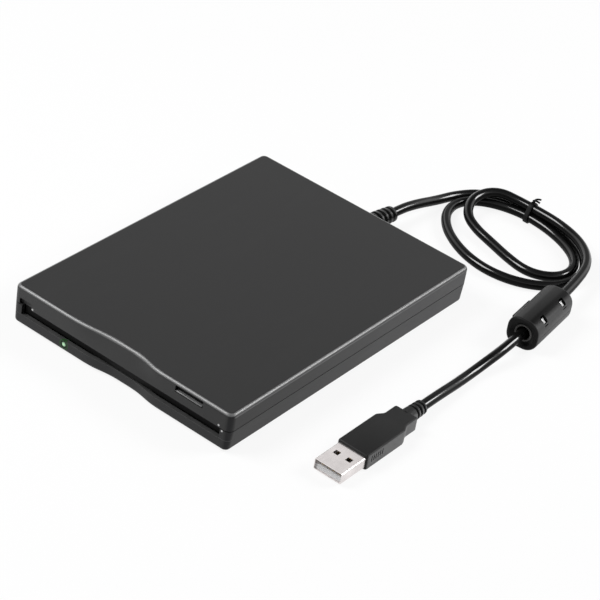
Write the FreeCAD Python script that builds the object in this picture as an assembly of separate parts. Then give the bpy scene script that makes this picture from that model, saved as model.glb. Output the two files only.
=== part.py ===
"""External 3.5-inch floppy disk drive with its captive USB lead.

Millimetres. X runs across the case (right side positive), Y runs from the
front (negative) to the back, Z is up. The origin is the centre of the case's
footprint on the table. The model is the drive with no disk in it: the eject
button is in, the disk carrier is up and the dust flap is shut.
"""
import FreeCAD, Part
import math
import os

Vec = FreeCAD.Vector

# ------------------------------------------------------------- the 3.5-inch disk
disk_width = 90.0
disk_length = 94.0
disk_thickness = 3.3
hub_from_disk_rear = 40.0

# ------------------------------------------------------- fits and clearances
pin_clearance = 0.05          # running fit, radial
slide_clearance = 0.15        # guide pin in its slot, each side
sheet_gap = 0.4               # between neighbouring moving sheets
seat_gap = 0.1
button_clearance = 0.2
slot_height_room = 0.85       # over the disk
slot_side_room = 2.2          # beside the disk
front_room = 7.0              # from a seated disk to the front of the case
shell_room = 1.6              # between the chassis and the side of the shells
board_gap = 0.6

# ------------------------------------------------------------------- travels
load_drop = 1.8
eject_travel = 5.0
head_stroke = 15.0
lever_swing = 113.0
arm_swing = 12.0

# ---------------------------------------------------------------- case sizes
foot_height = 0.8
side_wall = 1.6
roof_wall = 1.4
floor_wall = 1.2
front_corner_radius = 2.6
rear_corner_radius = 2.6
roof_fillet = 1.5
floor_fillet = 1.2
floor_draft = 0.5             # lower shell tapers in by this at the sides and back
seam_depth = 0.3              # dark line between the two shells
seam_height = 0.3

# wave of the front: the roof edge is drawn back over a straight slot, the lip below follows
wave_left = -27.0
wave_crest_left = 0.0
wave_crest_right = 4.0
wave_right = 20.0
roof_wave_depth = 2.5
lower_wave_left = -17.0
lower_wave_depth = 1.6

# flared end of the disk slot
slot_flare_length = 6.0
slot_flare_height = 2.6
slot_flare_depth = 1.3
slot_flare_overhang = 1.25
slot_flare_radius = 0.5

# tongue and groove round the parting line
tongue_thickness = 0.7
tongue_height = 1.0
tongue_clearance = 0.1

# --------------------------------------------------------------- sheet metal
chassis_sheet = 0.7
chassis_wall = 0.8
carrier_sheet = 0.6
carrier_plate = 0.5
rail_sheet = 0.6
cover_sheet = 0.5
carrier_side_gap = 0.4
carrier_lip = 2.8
carrier_stop = 2.0            # carrier sides past the disk
carrier_tail = 5.0            # carrier plate past the disk
guide_pin_radius = 0.8
rail_rise = 1.9               # rails over the carrier's plate
rail_bridge = 6.0
mech_set_back = 11.0
window_length = 12.0
window_rim = 1.0
cover_window_edge = 10.3
cover_window_inner = 14.0
cover_window_radius = 4.0
gate_half = 9.5
gate_room = 4.0
lightening_inner = 12.0
lightening_edge = 11.4
lightening_radius = 5.0

# ------------------------------------------------------------------- fixings
foot_radius = 4.0
foot_recess = 0.4
foot_inset_x = 10.5
foot_inset_y = 13.0
case_screw_inset_x = 7.5
case_screw_inset_y = 6.6
case_screw_radius = 0.95
case_screw_head = 2.0
case_screw_length = 8.5
case_boss_radius = 2.6
counterbore_depth = 1.4
screw_seat = 1.2
chassis_screw_radius = 0.95
chassis_screw_head = 1.9
chassis_screw_recess = 0.45
chassis_screw_front = (18.3, 8.0)      # in from the chassis's side and front
chassis_screw_rear = (15.3, 13.0)      # in from its side and back
hook_set_back = 20.0
hook_width = 6.0
hook_sheet = 0.7
hook_rise = 4.6
hook_pocket = 0.55            # reach of the pocket that takes the hook's barb

# ---------------------------------------------------------------- dust flap
flap_sheet = 0.8
flap_knuckle = 0.9
flap_pin_radius = 0.6
flap_side_gap = 0.4
flap_foot_gap = 0.25
flap_set_back = 0.3           # behind the inner face of the front wall
spring_neck_inset = 7.2

# -------------------------------------------------------------- eject button
button_from_side = 25.3
button_width = 12.2
button_height = 2.4
button_below_roof = 1.25
button_thickness = 2.1
button_edge = 0.25
button_stem_width = 8.4
button_stem_length = 2.4
button_stem_height = 1.9
tongue_width = 6.4
tongue_sheet = 0.5
tongue_rise = 0.35

# --------------------------------------------------------------- eject spring
spring_radius = 1.1
spring_wire = 0.25            # radius of the wire
spring_length = 11.0
spring_turns = 5
spring_lug = 0.8
spring_from_rail = 1.5
spring_set_back = 30.0

# -------------------------------------------------------------- spindle motor
rotor_radius = 15.0
rotor_plate = 0.4
hub_radius = 10.5
hub_below_disk = 0.3
hub_chamfer = 0.4
hub_recess_depth = 0.3
hub_recess_outer = 7.0
hub_recess_inner = 4.0
spindle_radius = 1.5
spindle_stand = 0.2
bearing_radius = 3.0
motor_board = 0.4
motor_board_rim = 1.3
coil_height = 0.25
coil_count = 9
coil_rim = 1.2
magnet_width = 1.4
magnet_height = 0.3
drive_pin_radius = 1.0
drive_pin_offset = 5.6

# -------------------------------------------------------------- shutter lever
lever_from_disk_side = 9.0
lever_from_disk_rear = 10.0
lever_length = 22.0
lever_rest_angle = -80.0
lever_sheet = 0.5
lever_width = 4.0
lever_hub = 3.0
lever_pin_radius = 1.2
lever_pin_foot = 0.5
lever_pivot_radius = 1.2
lever_pivot_head = 2.3
lever_pivot_rise = 1.3
lever_spring_width = 0.6
lever_spring_leg = 8.0

# ------------------------------------------------------------------- head unit
rod_radius = 1.0
rod_rise = 1.9                # rods over the chassis floor
rod_x = (-9.0, 12.0)
clip_length = 2.0
clip_width = 4.0
clip_rim = 1.3
clip_gap = 0.2
bushing_length = 6.0
bushing_wall = 3.4
carriage_half = 6.5
carriage_rise = 1.8
carriage_arm = 0.5
carriage_pocket = 1.2
fork_length = 3.0
ear_rise = 1.4
head_from_disk_rear = 1.5
head_width = 5.0
head_length = 3.2
head_chamfer = 0.3
head_gap = 0.1
upper_head_height = 4.2
arm_pivot_rise = 1.6
arm_pivot_set = 1.8
arm_reach = 3.5               # arm past the head
arm_sheet = 0.8
arm_half = 4.4
arm_crank_from_disk = 2.2
arm_crank_rise = 1.2
arm_knuckle = 1.2
arm_window_rim = 1.6
arm_pin_radius = 0.6
arm_ear = 1.4
screw_x = 21.0
screw_radius = 1.2
journal_radius = 0.6
journal_reach = 1.5
stepper_radius = 4.1
stepper_band = 2.6
bracket_sheet = 0.5
bracket_half = 2.2
bracket_head = 2.0
follower_sheet = 0.9
flag_sheet = 0.6
flag_width = 1.0
flag_set = 3.2
sensor_half = 2.8
sensor_gap = 1.2
sensor_slot = 1.0
sensor_height = 3.4
sensor_length = 4.5
sensor_floor = 1.4

# --------------------------------------------------------------- electronics
board_thickness = 1.0
controller_depth = 19.5
controller_gap = 2.6          # to the track sensor
controller_edge = 1.1
bridge_depth = 8.0
bridge_inset = 11.3
bridge_reach = 23.5
bridge_rise = 1.2
ribbon_width = 12.0
ribbon_sheet = 0.25
ribbon_arch = 1.4
led_from_side = 25.6
led_radius = 1.1
led_below_slot = 1.65
led_set_back = 3.8
lamp_board_sheet = 0.8

# ------------------------------------------------------------- cord and plug
cord_diameter = 4.0
relief_x = 0.5
relief_rise = 1.4
relief_length = 20.0
relief_neck = 3.2
relief_flange = 4.2
relief_inner = 1.3
relief_collar = 1.8
relief_ribs = 5
relief_taper = 0.9
tie_x = 34.0
tie_width = 2.6
tie_thickness = 0.8
tie_clearance = 0.2
ferrite_share = 0.5012        # place along its straight run
ferrite_length = 30.0
ferrite_width = 13.3
ferrite_round = 7.1
ferrite_wall = 1.1
ferrite_bore = 2.7
ferrite_edge = 1.2
core_clearance = 0.1
hinge_pin_radius = 0.5
hinge_knuckle = 0.85
hinge_offset = 1.15           # hinge axis to the clamp's side
hinge_half = 6.5
hinge_ear = 1.5
latch_offset = 7.6
latch_half = 1.3
latch_rise = 2.3
boot_length = 11.3
boot_ribs = 3
boot_radius = 3.25
overmold_rear_length = 8.5
overmold_front_length = 23.5
overmold_width = 13.6
overmold_waist = 11.4
overmold_height = 6.6
overmold_edge = 0.9
overmold_step_height = 0.35
grip_grooves = 6
grip_pitch = 1.3
grip_groove = 0.55
grip_start = 4.0
grip_rim = 1.3
plug_shell_width = 12.0
plug_shell_height = 4.5
plug_shell_length = 13.4
plug_shell_sheet = 0.3
plug_shell_radius = 0.5
plug_hole = 2.2
plug_hole_offset = 2.7
plug_hole_set = 6.4
plug_tongue_height = 1.85
contact_sheet = 0.15
contact_width = 1.0
contact_x = (-3.5, -1.0, 1.0, 3.5)

# --------------------------------------------- derived: heights, from the table up
case_bottom = foot_height
inner_floor = case_bottom + floor_wall
base_top = inner_floor + chassis_sheet
board_top = inner_floor + motor_board
carrier_floor = base_top + load_drop + seat_gap * 2.0
carrier_bed = carrier_floor + carrier_plate
slot_bottom = carrier_bed + pin_clearance
slot_height = disk_thickness + slot_height_room
parting = slot_bottom + slot_height
carrier_ceiling = parting
carrier_top = carrier_ceiling + carrier_plate
rail_bottom = base_top + chassis_sheet
rail_top = carrier_top + rail_rise
chassis_top = rail_top + spring_radius * 2.0 + sheet_gap
mech_cover_top = chassis_top + cover_sheet
inner_roof = mech_cover_top + seat_gap * 3.0
case_top = inner_roof + roof_wall
guide_pin_z = (carrier_floor + carrier_top) / 2.0
rotor_top = carrier_bed - load_drop - seat_gap * 2.0
rotor_bottom = rotor_top - rotor_plate
hub_top = carrier_bed - hub_below_disk
lever_bottom = carrier_top + seat_gap
lever_top = lever_bottom + lever_sheet
lower_head_top = carrier_bed
rod_height = base_top + rod_rise
clip_height = rod_height + clip_rim
carriage_top = rod_height + carriage_rise
arm_pivot_z = carrier_top + arm_pivot_rise
screw_z = base_top + stepper_radius + seat_gap * 2.0
screw_boss_bottom = case_bottom + counterbore_depth + screw_seat
hook_bottom = case_bottom + hook_rise
flap_pin_z = parting + flap_knuckle
button_bottom = case_top - button_below_roof - button_height
tongue_z = button_bottom + tongue_rise
spring_z = (rail_top + chassis_top) / 2.0
controller_bottom = base_top + board_gap
controller_top = controller_bottom + board_thickness
bridge_bottom = inner_floor + bridge_rise
bridge_top = bridge_bottom + board_thickness
led_height = slot_bottom - led_below_slot
relief_z = inner_floor + relief_flange + relief_rise
ferrite_axis = ferrite_width / 2.0
axis_z = overmold_height / 2.0
cord_low = cord_diameter / 2.0 + seat_gap

# ------------------------------------------ derived: widths, from the disk outwards
disk_half = disk_width / 2.0
carrier_inner = disk_half + carrier_side_gap
carrier_outer = carrier_inner + carrier_sheet
rail_inner = carrier_outer + sheet_gap + seat_gap
rail_outer = rail_inner + rail_sheet
chassis_inner = rail_outer + sheet_gap
chassis_outer = chassis_inner + chassis_wall
side = chassis_outer + shell_room + side_wall
slot_half_width = disk_half + slot_side_room
hook_x = side - side_wall - tongue_clearance * 2.0 - seat_gap
foot_x = side - foot_inset_x
case_screw_x = side - case_screw_inset_x
spring_x = rail_inner - spring_from_rail
spring_neck = spring_neck_inset - slot_half_width
button_left = side - button_from_side
tongue_x = button_left + button_width / 2.0
led_x = led_from_side - side
bridge_left = bridge_inset - side
bridge_right = relief_x + bridge_reach
ribbon_x0 = bridge_left + seat_gap * 2.0
ribbon_x1 = ribbon_x0 + ribbon_width
core_radius = ferrite_axis - ferrite_wall - seat_gap * 3.0
hinge_x = -ferrite_axis - hinge_offset
latch_y = (-latch_offset, latch_offset)

# ------------------------------------------- derived: lengths, along the mechanism
# The head unit's chain sets how far the case runs on behind the disk.
carriage_from_disk = head_stroke + pin_clearance * 20.0
bushing_from_disk = seat_gap * 10.0 + clip_length + head_stroke + clip_gap
rods_from_disk = bushing_from_disk + bushing_length + clip_gap * 4.0 + clip_length
mech_from_disk = rods_from_disk + clip_gap + chassis_wall
board_bay = seat_gap * 10.0 + bridge_depth + board_gap + relief_inner + floor_draft + side_wall
rear_bay = mech_from_disk + board_bay
rear = (front_room + disk_length + rear_bay) / 2.0
front = -rear
disk_rear = rear - rear_bay
spindle_y = disk_rear - hub_from_disk_rear
mech_front = front + mech_set_back
mech_rear = disk_rear + mech_from_disk
rail_front = mech_front + carrier_stop
rail_rear = disk_rear + seat_gap * 5.0
carrier_rear = disk_rear + carrier_tail
guide_pin_y = (
    mech_front + hook_set_back - carrier_stop, disk_rear - lever_pin_radius * 2.0 - clip_length * 2.8,
)
window_middle = (guide_pin_y[0] + guide_pin_y[1]) / 2.0
window_y = (window_middle - window_length * 0.9, window_middle + window_length * 0.9)
foot_y = rear - foot_inset_y
case_screw_y = rear - case_screw_inset_y
hook_y = front + hook_set_back
rod_front = disk_rear + seat_gap * 10.0
rod_rear = disk_rear + rods_from_disk
carriage_front = disk_rear + carriage_from_disk
bushing_front = disk_rear + bushing_from_disk
carriage_rear = bushing_front + bushing_length
head_y = disk_rear - head_from_disk_rear
arm_pivot_y = bushing_front + arm_pivot_set
arm_front = head_y - arm_reach
arm_crank_y = disk_rear + arm_crank_from_disk
bracket_rear = bushing_front + seat_gap * 3.0 + bracket_sheet
stepper_front = bracket_rear
screw_front = rod_front + bracket_sheet
lever_pivot = (lever_from_disk_side - disk_half, disk_rear - lever_from_disk_rear)
flap_front = front + side_wall + flap_set_back
flap_pin_y = flap_front + flap_knuckle
tongue_front = front + button_thickness + sheet_gap
spring_rear_y = mech_front + spring_set_back
lug_y = spring_rear_y - spring_length
led_board_front = front + led_set_back
sensor_x = rod_x[0] - clip_width / 2.0 - sensor_gap - sensor_half
flag_x = sensor_x - flag_sheet / 2.0
controller_left = controller_edge - chassis_inner
controller_right = sensor_x - sensor_half - controller_gap
controller_rear = mech_rear - chassis_wall - controller_edge
controller_front = controller_rear - controller_depth
controller_posts = (
    (controller_left + screw_seat * 2.0, controller_front + screw_seat * 2.0),
    (controller_left + screw_seat * 2.0, controller_rear - screw_seat * 2.5),
    (controller_right - screw_seat * 2.2, controller_rear - screw_seat * 2.5),
)
bridge_front = mech_rear + seat_gap * 10.0
bridge_post_x = (bridge_left + case_boss_radius * 2.0, bridge_right - case_boss_radius * 1.5)
bridge_post_y = bridge_front + bridge_depth / 2.0
chassis_screw_points = (
    (chassis_screw_front[0] - chassis_outer, mech_front + chassis_screw_front[1]),
    (chassis_outer - chassis_screw_front[0], mech_front + chassis_screw_front[1]),
    (chassis_screw_rear[0] - chassis_outer, mech_rear - chassis_screw_rear[1]),
    (chassis_outer - chassis_screw_rear[0], mech_rear - chassis_screw_rear[1]),
)
roof_wave = (wave_left, wave_crest_left, wave_crest_right, wave_right)
lower_wave = (lower_wave_left, wave_crest_left, wave_crest_right, wave_right)
far = 200.0

# The lead lies on the table in two tied loops between the drive and its plug:
# each point is right of and behind the mouth of the strain relief, and its height.
cord_run = [
    (0.0, 0.0, relief_z), (0.0, 8.0, relief_z), (0.3, 17.5, 4.2), (1.6, 27.0, cord_low),
    (5.2, 37.6, cord_low), (11.5, 47.0, cord_low), (21.1, 52.0, 2.6), (33.5, 52.4, 3.25),
    (45.3, 51.6, 2.7), (56.7, 48.6, cord_low), (67.0, 42.0, cord_low), (73.4, 32.0, cord_low),
    (73.5, 20.8, cord_low), (68.3, 11.4, cord_low), (58.8, 5.0, cord_low), (47.5, 2.5, cord_low),
    (36.5, 4.0, cord_low), (26.5, 8.3, cord_low), (17.5, 14.8, cord_low), (11.0, 23.3, cord_low),
    (9.1, 32.8, cord_low), (12.9, 41.0, cord_low), (21.5, 46.2, 2.5), (33.5, 47.9, 3.25),
    (44.7, 47.2, 2.7), (55.5, 44.1, cord_low), (64.4, 38.3, cord_low), (69.0, 31.0, cord_low),
    (68.8, 23.0, cord_low), (64.1, 16.5, cord_low), (56.7, 13.6, cord_low), (46.7, 15.5, cord_low),
    (37.0, 19.6, cord_low), (26.5, 22.1, 2.7), (18.3, 26.0, 4.1), (14.2, 34.0, 6.0),
    (15.4, 42.2, 7.1), (20.4, 48.1, 7.3), (27.8, 50.4, 7.1), (37.5, 50.2, 6.8), (47.9, 49.0, 6.6),
    (58.1, 46.2, 6.4), (65.9, 41.6, 6.4), (72.1, 34.6, 6.5), (75.9, 25.8, 6.6),
    (79.25, 6.8, ferrite_axis), (84.05, -34.8, ferrite_axis), (81.8, -55.0, cord_low),
    (81.9, -67.6, cord_low), (82.3, -79.6, axis_z), (82.3, -88.8, axis_z),
]
cord_exit = (relief_x, rear + relief_length)
cord_route = [(cord_exit[0] + dx, cord_exit[1] + dy, z) for dx, dy, z in cord_run]
tie_front = cord_exit[1] + relief_length * 2.0
plug_x, plug_tip_y = cord_route[-1][:2]
overmold_rear = plug_tip_y - boot_length
overmold_step = overmold_rear - overmold_rear_length
overmold_front = overmold_step - overmold_front_length
ferrite_rear = cord_route[-6]
ferrite_front = cord_route[-5]
ferrite_run = (ferrite_front[0] - ferrite_rear[0], ferrite_rear[1] - ferrite_front[1])
ferrite_yaw = math.degrees(math.atan2(*ferrite_run))
ferrite_centre = (
    ferrite_rear[0] + ferrite_share * ferrite_run[0],
    ferrite_rear[1] - ferrite_share * ferrite_run[1],
)


# -------------------------------------------------------------- shape helpers
def block(x0, x1, y0, y1, z0, z1):
    """Box between two corners."""
    return Part.makeBox(x1 - x0, y1 - y0, z1 - z0, Vec(x0, y0, z0))


def post(x, y, z0, z1, radius):
    """Upright cylinder."""
    return Part.makeCylinder(radius, z1 - z0, Vec(x, y, z0))


def bar_x(y, z, x0, x1, radius):
    """Cylinder along X."""
    return Part.makeCylinder(radius, x1 - x0, Vec(x0, y, z), Vec(1, 0, 0))


def bar_y(x, z, y0, y1, radius):
    """Cylinder along Y."""
    return Part.makeCylinder(radius, y1 - y0, Vec(x, y0, z), Vec(0, 1, 0))


def join(shapes):
    """One solid from overlapping or touching shapes."""
    whole = shapes[0]
    for shape in shapes[1:]:
        whole = whole.fuse(shape)
    return whole.removeSplitter()


def cut(shape, tools):
    """Shape less each tool."""
    for tool in tools:
        shape = shape.cut(tool)
    return shape


def mirror_x(shape):
    """Copy on the other side of the case's middle plane."""
    return shape.mirror(Vec(0, 0, 0), Vec(1, 0, 0))


def group(shapes):
    """Separate solids that share one node."""
    return Part.makeCompound(shapes)


def turned(shape, centre, axis, degrees):
    """Copy turned about a line."""
    copy = shape.copy()
    copy.rotate(Vec(*centre), Vec(*axis), degrees)
    return copy


def profile_x(points, x0, x1):
    """Closed YZ outline pushed along X."""
    wire = Part.makePolygon([Vec(x0, y, z) for y, z in points + points[:1]])
    return Part.Face(wire).extrude(Vec(x1 - x0, 0, 0))


def revolve_y(points, x, z):
    """Closed (radius, y) outline turned about an axis along Y."""
    wire = Part.makePolygon([Vec(x + r, y, z) for r, y in points + points[:1]])
    return Part.Face(wire).revolve(Vec(x, 0, z), Vec(0, 1, 0), 360)


def slot_prism_x(y0, z0, y1, z1, half_width, x0, x1):
    """Round-ended slot in the YZ plane, pushed along X."""
    length = math.hypot(y1 - y0, z1 - z0)
    middle = block(x0, x1, 0, length, -half_width, half_width)
    slot = join([middle, bar_x(0, 0, x0, x1, half_width), bar_x(length, 0, x0, x1, half_width)])
    slot.rotate(Vec(0, 0, 0), Vec(1, 0, 0), math.degrees(math.atan2(z1 - z0, y1 - y0)))
    slot.translate(Vec(0, y0, z0))
    return slot


def save(shape, node):
    """Write one node."""
    shape.exportStep("parts/" + node + ".step")


# ------------------------------------------------------------------ the shells
def s_curve(x0, y0, x1, y1, z):
    """Smooth step in the front outline."""
    middle = (x0 + x1) / 2.0
    curve = Part.BezierCurve()
    curve.setPoles([Vec(x0, y0, z), Vec(middle, y0, z), Vec(middle, y1, z), Vec(x1, y1, z)])
    return curve.toShape()


def corner(x, y, radius, turn, z):
    """Quarter arc round a centre, from the angle turn."""
    points = []
    for step in (0, 45, 90):
        angle = math.radians(turn + step)
        points.append(Vec(x + radius * math.cos(angle), y + radius * math.sin(angle), z))
    return Part.Arc(*points).toShape()


def case_outline(z, inset, front_inset, wave, depth):
    """Plan outline of the case at one height; wave holds the four ends of the S-curves."""
    x = side - inset
    y0 = front + front_inset
    y1 = rear - inset
    rf = front_corner_radius - min(inset, side_wall)
    rr = max(rear_corner_radius - inset, seam_depth)
    crest = y0 + depth
    edges = [
        Part.LineSegment(Vec(rf - x, y0, z), Vec(wave[0], y0, z)).toShape(),
        s_curve(wave[0], y0, wave[1], crest, z),
        Part.LineSegment(Vec(wave[1], crest, z), Vec(wave[2], crest, z)).toShape(),
        s_curve(wave[2], crest, wave[3], y0, z),
        Part.LineSegment(Vec(wave[3], y0, z), Vec(x - rf, y0, z)).toShape(),
        corner(x - rf, y0 + rf, rf, -90, z),
        Part.LineSegment(Vec(x, y0 + rf, z), Vec(x, y1 - rr, z)).toShape(),
        corner(x - rr, y1 - rr, rr, 0, z),
        Part.LineSegment(Vec(x - rr, y1, z), Vec(rr - x, y1, z)).toShape(),
        corner(rr - x, y1 - rr, rr, 90, z),
        Part.LineSegment(Vec(-x, y1 - rr, z), Vec(-x, y0 + rf, z)).toShape(),
        corner(rf - x, y0 + rf, rf, 180, z),
    ]
    return Part.Wire(edges)


def rim_edges(solid, z):
    """Edges of the flat face at one height."""
    for face in solid.Faces:
        box = face.BoundBox
        if abs(box.ZMin - z) < seat_gap and abs(box.ZMax - z) < seat_gap:
            return face.OuterWire.Edges
    return []


def upper_form(inset, z0, z1):
    """Solid of the upper shell's outline between two heights, moved in by inset."""
    slope = roof_wave_depth / (case_top - parting)
    wires = []
    for z in (z0, z1):
        wires.append(case_outline(z, inset, inset, roof_wave, slope * (z - parting)))
    return Part.makeLoft(wires, True, True)


def lower_form(inset, z0, z1):
    """Solid of the lower shell's outline between two heights, moved in by inset."""
    draft = floor_draft * (parting - z0) / (parting - case_bottom)
    wires = [
        case_outline(z0, inset + draft, inset, lower_wave, lower_wave_depth),
        case_outline(z1, inset, inset, lower_wave, lower_wave_depth),
    ]
    return Part.makeLoft(wires, True, True)


def ring_form(outer_inset, inner_inset, z0, z1):
    """Band round the sides and back of the case, open at the front."""
    band = []
    for inset in (outer_inset, inner_inset):
        wire = case_outline(z0, inset, inset, lower_wave, 0.0)
        band.append(Part.Face(wire).extrude(Vec(0, 0, z1 - z0)))
    front_cut = block(-far, far, front - far, front + front_corner_radius + side_wall, 0, far)
    return cut(band[0], [band[1], front_cut])


def rear_hole(radius):
    """Cable hole through the back wall, shared by both shells."""
    return bar_y(relief_x, relief_z, rear - side_wall * 2.0, rear + side_wall, radius)


def build_top_cover():
    """Upper shell with its screw posts, hooks, flap ears and button window."""
    shell = upper_form(0.0, parting, case_top)
    shell = shell.makeFillet(roof_fillet, rim_edges(shell, case_top))
    shell = shell.cut(upper_form(side_wall, parting - seat_gap, inner_roof))
    groove = side_wall - tongue_thickness - tongue_clearance
    shell = shell.cut(ring_form(
        groove, side_wall + seat_gap, parting - seat_gap, parting + tongue_height + seat_gap,
    ))
    window = block(
        button_left - button_clearance, button_left + button_width + button_clearance,
        front - side_wall, front + side_wall * 2.0,
        button_bottom - button_clearance, button_bottom + button_height + button_clearance,
    )
    flare_x = -slot_half_width - slot_flare_overhang
    flare = block(
        flare_x, flare_x + slot_flare_length, front - side_wall, front + slot_flare_depth,
        parting - seat_gap, parting + slot_flare_height,
    )
    long_edges = [edge for edge in flare.Edges if edge.BoundBox.YLength > side_wall]
    upper_edges = [edge for edge in long_edges if edge.BoundBox.ZMin > parting]
    flare = flare.makeFillet(slot_flare_radius, upper_edges)
    flap_bay = block(
        -slot_half_width, slot_half_width, front + side_wall, flap_pin_y,
        parting - seat_gap, flap_pin_z + flap_knuckle + sheet_gap,
    )
    shell = cut(shell, [window, flare, flap_bay, rear_hole(relief_neck + pin_clearance)])
    pieces = [shell]
    for x in (-case_screw_x, case_screw_x):
        boss = post(x, case_screw_y, screw_boss_bottom, inner_roof + seat_gap, case_boss_radius)
        pieces.append(boss)
        for pad_y in (mech_front + case_boss_radius, mech_rear - case_boss_radius):
            pieces.append(post(x, pad_y, mech_cover_top, inner_roof + seat_gap, case_boss_radius / 2.0))
    ear_x0 = slot_half_width + sheet_gap + seat_gap
    ear_x1 = ear_x0 + side_wall - pin_clearance * 2.0
    ear_y0 = flap_pin_y - side_wall / 2.0
    for x0, x1 in ((ear_x0, ear_x1), (-ear_x1, -ear_x0)):
        pieces.append(block(x0, x1, ear_y0, flap_pin_y + side_wall, parting, inner_roof + seat_gap))
    for sign in (-1, 1):
        hook = hook_profile()
        pieces.append(hook if sign > 0 else mirror_x(hook))
    shell = join(pieces)
    for x in (-case_screw_x, case_screw_x):
        shell = shell.cut(post(
            x, case_screw_y, 0, screw_boss_bottom + case_screw_length, case_screw_radius + pin_clearance,
        ))
    return shell.cut(bar_x(flap_pin_y, flap_pin_z, -ear_x1, ear_x1, flap_pin_radius + pin_clearance))


def hook_profile():
    """Right-hand snap hook of the upper shell."""
    x1 = hook_x
    x0 = x1 - hook_sheet
    y0 = hook_y - hook_width / 2.0
    arm = block(x0, x1, y0, y0 + hook_width, hook_bottom, inner_roof + seat_gap)
    points = [
        Vec(x1 - seat_gap, y0, hook_bottom), Vec(x1 + hook_sheet / 2.0, y0, hook_bottom + hook_sheet),
        Vec(x1 - seat_gap, y0, hook_bottom + hook_sheet), Vec(x1 - seat_gap, y0, hook_bottom),
    ]
    barb = Part.Face(Part.makePolygon(points)).extrude(Vec(0, hook_width, 0))
    return join([arm, barb])


def build_bottom_cover():
    """Lower shell with the slot, tongue, screw seats, foot recesses and board posts."""
    shell = lower_form(0.0, case_bottom, parting)
    shell = shell.makeFillet(floor_fillet, rim_edges(shell, case_bottom))
    shell = shell.cut(lower_form(side_wall, inner_floor, parting + seat_gap))
    seam = cut(
        block(-far, far, -far, far, parting - seam_height, parting + seat_gap),
        [ring_plug(seam_depth, parting - seam_height - seat_gap, parting + seat_gap * 2.0)],
    )
    tongue = ring_form(side_wall - tongue_thickness, side_wall, parting - side_wall, parting + tongue_height)
    pieces = [shell.cut(seam), tongue]
    for x in (-case_screw_x, case_screw_x):
        pieces.append(post(
            x, case_screw_y, inner_floor - seat_gap, screw_boss_bottom, case_boss_radius + floor_wall / 2.0,
        ))
    for x in bridge_post_x:
        pieces.append(post(
            x, bridge_post_y, inner_floor - seat_gap, bridge_bottom, case_screw_radius + floor_wall,
        ))
    shell = join(pieces)
    slot = block(
        -slot_half_width, slot_half_width, front - side_wall, front + side_wall * 3.0, slot_bottom, far,
    )
    tools = [slot, rear_hole(relief_neck + pin_clearance)]
    for x0, x1 in ((hook_x, hook_x + hook_pocket), (-hook_x - hook_pocket, -hook_x)):
        tools.append(block(
            x0, x1, hook_y - hook_width / 2.0 - seat_gap * 2.0, hook_y + hook_width / 2.0 + seat_gap * 2.0,
            hook_bottom - seat_gap * 2.0, hook_bottom + hook_sheet + seat_gap,
        ))
    tools.append(bar_y(
        led_x, led_height, front - side_wall, front + side_wall * 2.0, led_radius + pin_clearance,
    ))
    for x in (-case_screw_x, case_screw_x):
        tools.append(post(x, case_screw_y, 0, case_bottom + counterbore_depth, case_screw_head + seat_gap))
        tools.append(post(x, case_screw_y, 0, far, case_screw_radius + seat_gap))
    for x, y in chassis_screw_points:
        tools.append(post(x, y, 0, inner_floor + seat_gap, chassis_screw_radius + seat_gap))
        tools.append(Part.makeCone(
            chassis_screw_head + seat_gap, chassis_screw_radius + seat_gap,
            chassis_screw_head - chassis_screw_radius, Vec(x, y, case_bottom),
        ))
    for x in (-foot_x, foot_x):
        for y in (-foot_y, foot_y):
            tools.append(post(x, y, 0, case_bottom + foot_recess, foot_radius + seat_gap))
    return cut(shell, tools)


def ring_plug(inset, z0, z1):
    """Solid inside the case outline, for cutting the seam line."""
    wire = case_outline(z0, inset, inset, lower_wave, lower_wave_depth)
    return Part.Face(wire).extrude(Vec(0, 0, z1 - z0))


def build_feet():
    """Four rubber feet let into the floor of the case."""
    feet = []
    for x in (-foot_x, foot_x):
        for y in (-foot_y, foot_y):
            foot = post(x, y, 0, case_bottom + foot_recess, foot_radius)
            feet.append(foot.makeChamfer(foot_recess / 2.0, [foot.Edges[2]]))
    return group(feet)


def build_case_screws():
    """Two screws that close the case from below."""
    screws = []
    for x in (-case_screw_x, case_screw_x):
        head_top = case_bottom + counterbore_depth
        head = post(x, case_screw_y, case_bottom + foot_recess, head_top, case_screw_head)
        slot = block(
            x - case_screw_head, x + case_screw_head, case_screw_y - spring_wire, case_screw_y + spring_wire,
            case_bottom, case_bottom + counterbore_depth / 2.0,
        )
        shank = post(x, case_screw_y, head_top - seat_gap, head_top + case_screw_length, case_screw_radius)
        screws.append(join([cut(head, [slot, turned(slot, (x, case_screw_y, 0), (0, 0, 1), 90)]), shank]))
    return group(screws)


# ------------------------------------------------------------------- dust flap
def build_flap():
    """Door behind the slot, hung on two pins under the upper shell."""
    half = slot_half_width - flap_side_gap
    plate = block(-half, half, flap_front, flap_front + flap_sheet, slot_bottom + flap_foot_gap, flap_pin_z)
    knuckle = bar_x(flap_pin_y, flap_pin_z, -half, half, flap_knuckle)
    pins = bar_x(flap_pin_y, flap_pin_z, -half - side_wall, half + side_wall, flap_pin_radius)
    neck = bar_x(flap_pin_y, flap_pin_z, spring_neck, spring_neck + side_wall, flap_knuckle + seat_gap)
    kept = bar_x(
        flap_pin_y, flap_pin_z, spring_neck - side_wall, spring_neck + side_wall * 2.0, flap_pin_radius,
    )
    neck = cut(neck, [kept])
    return cut(join([plate, knuckle, pins]), [neck])


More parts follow.
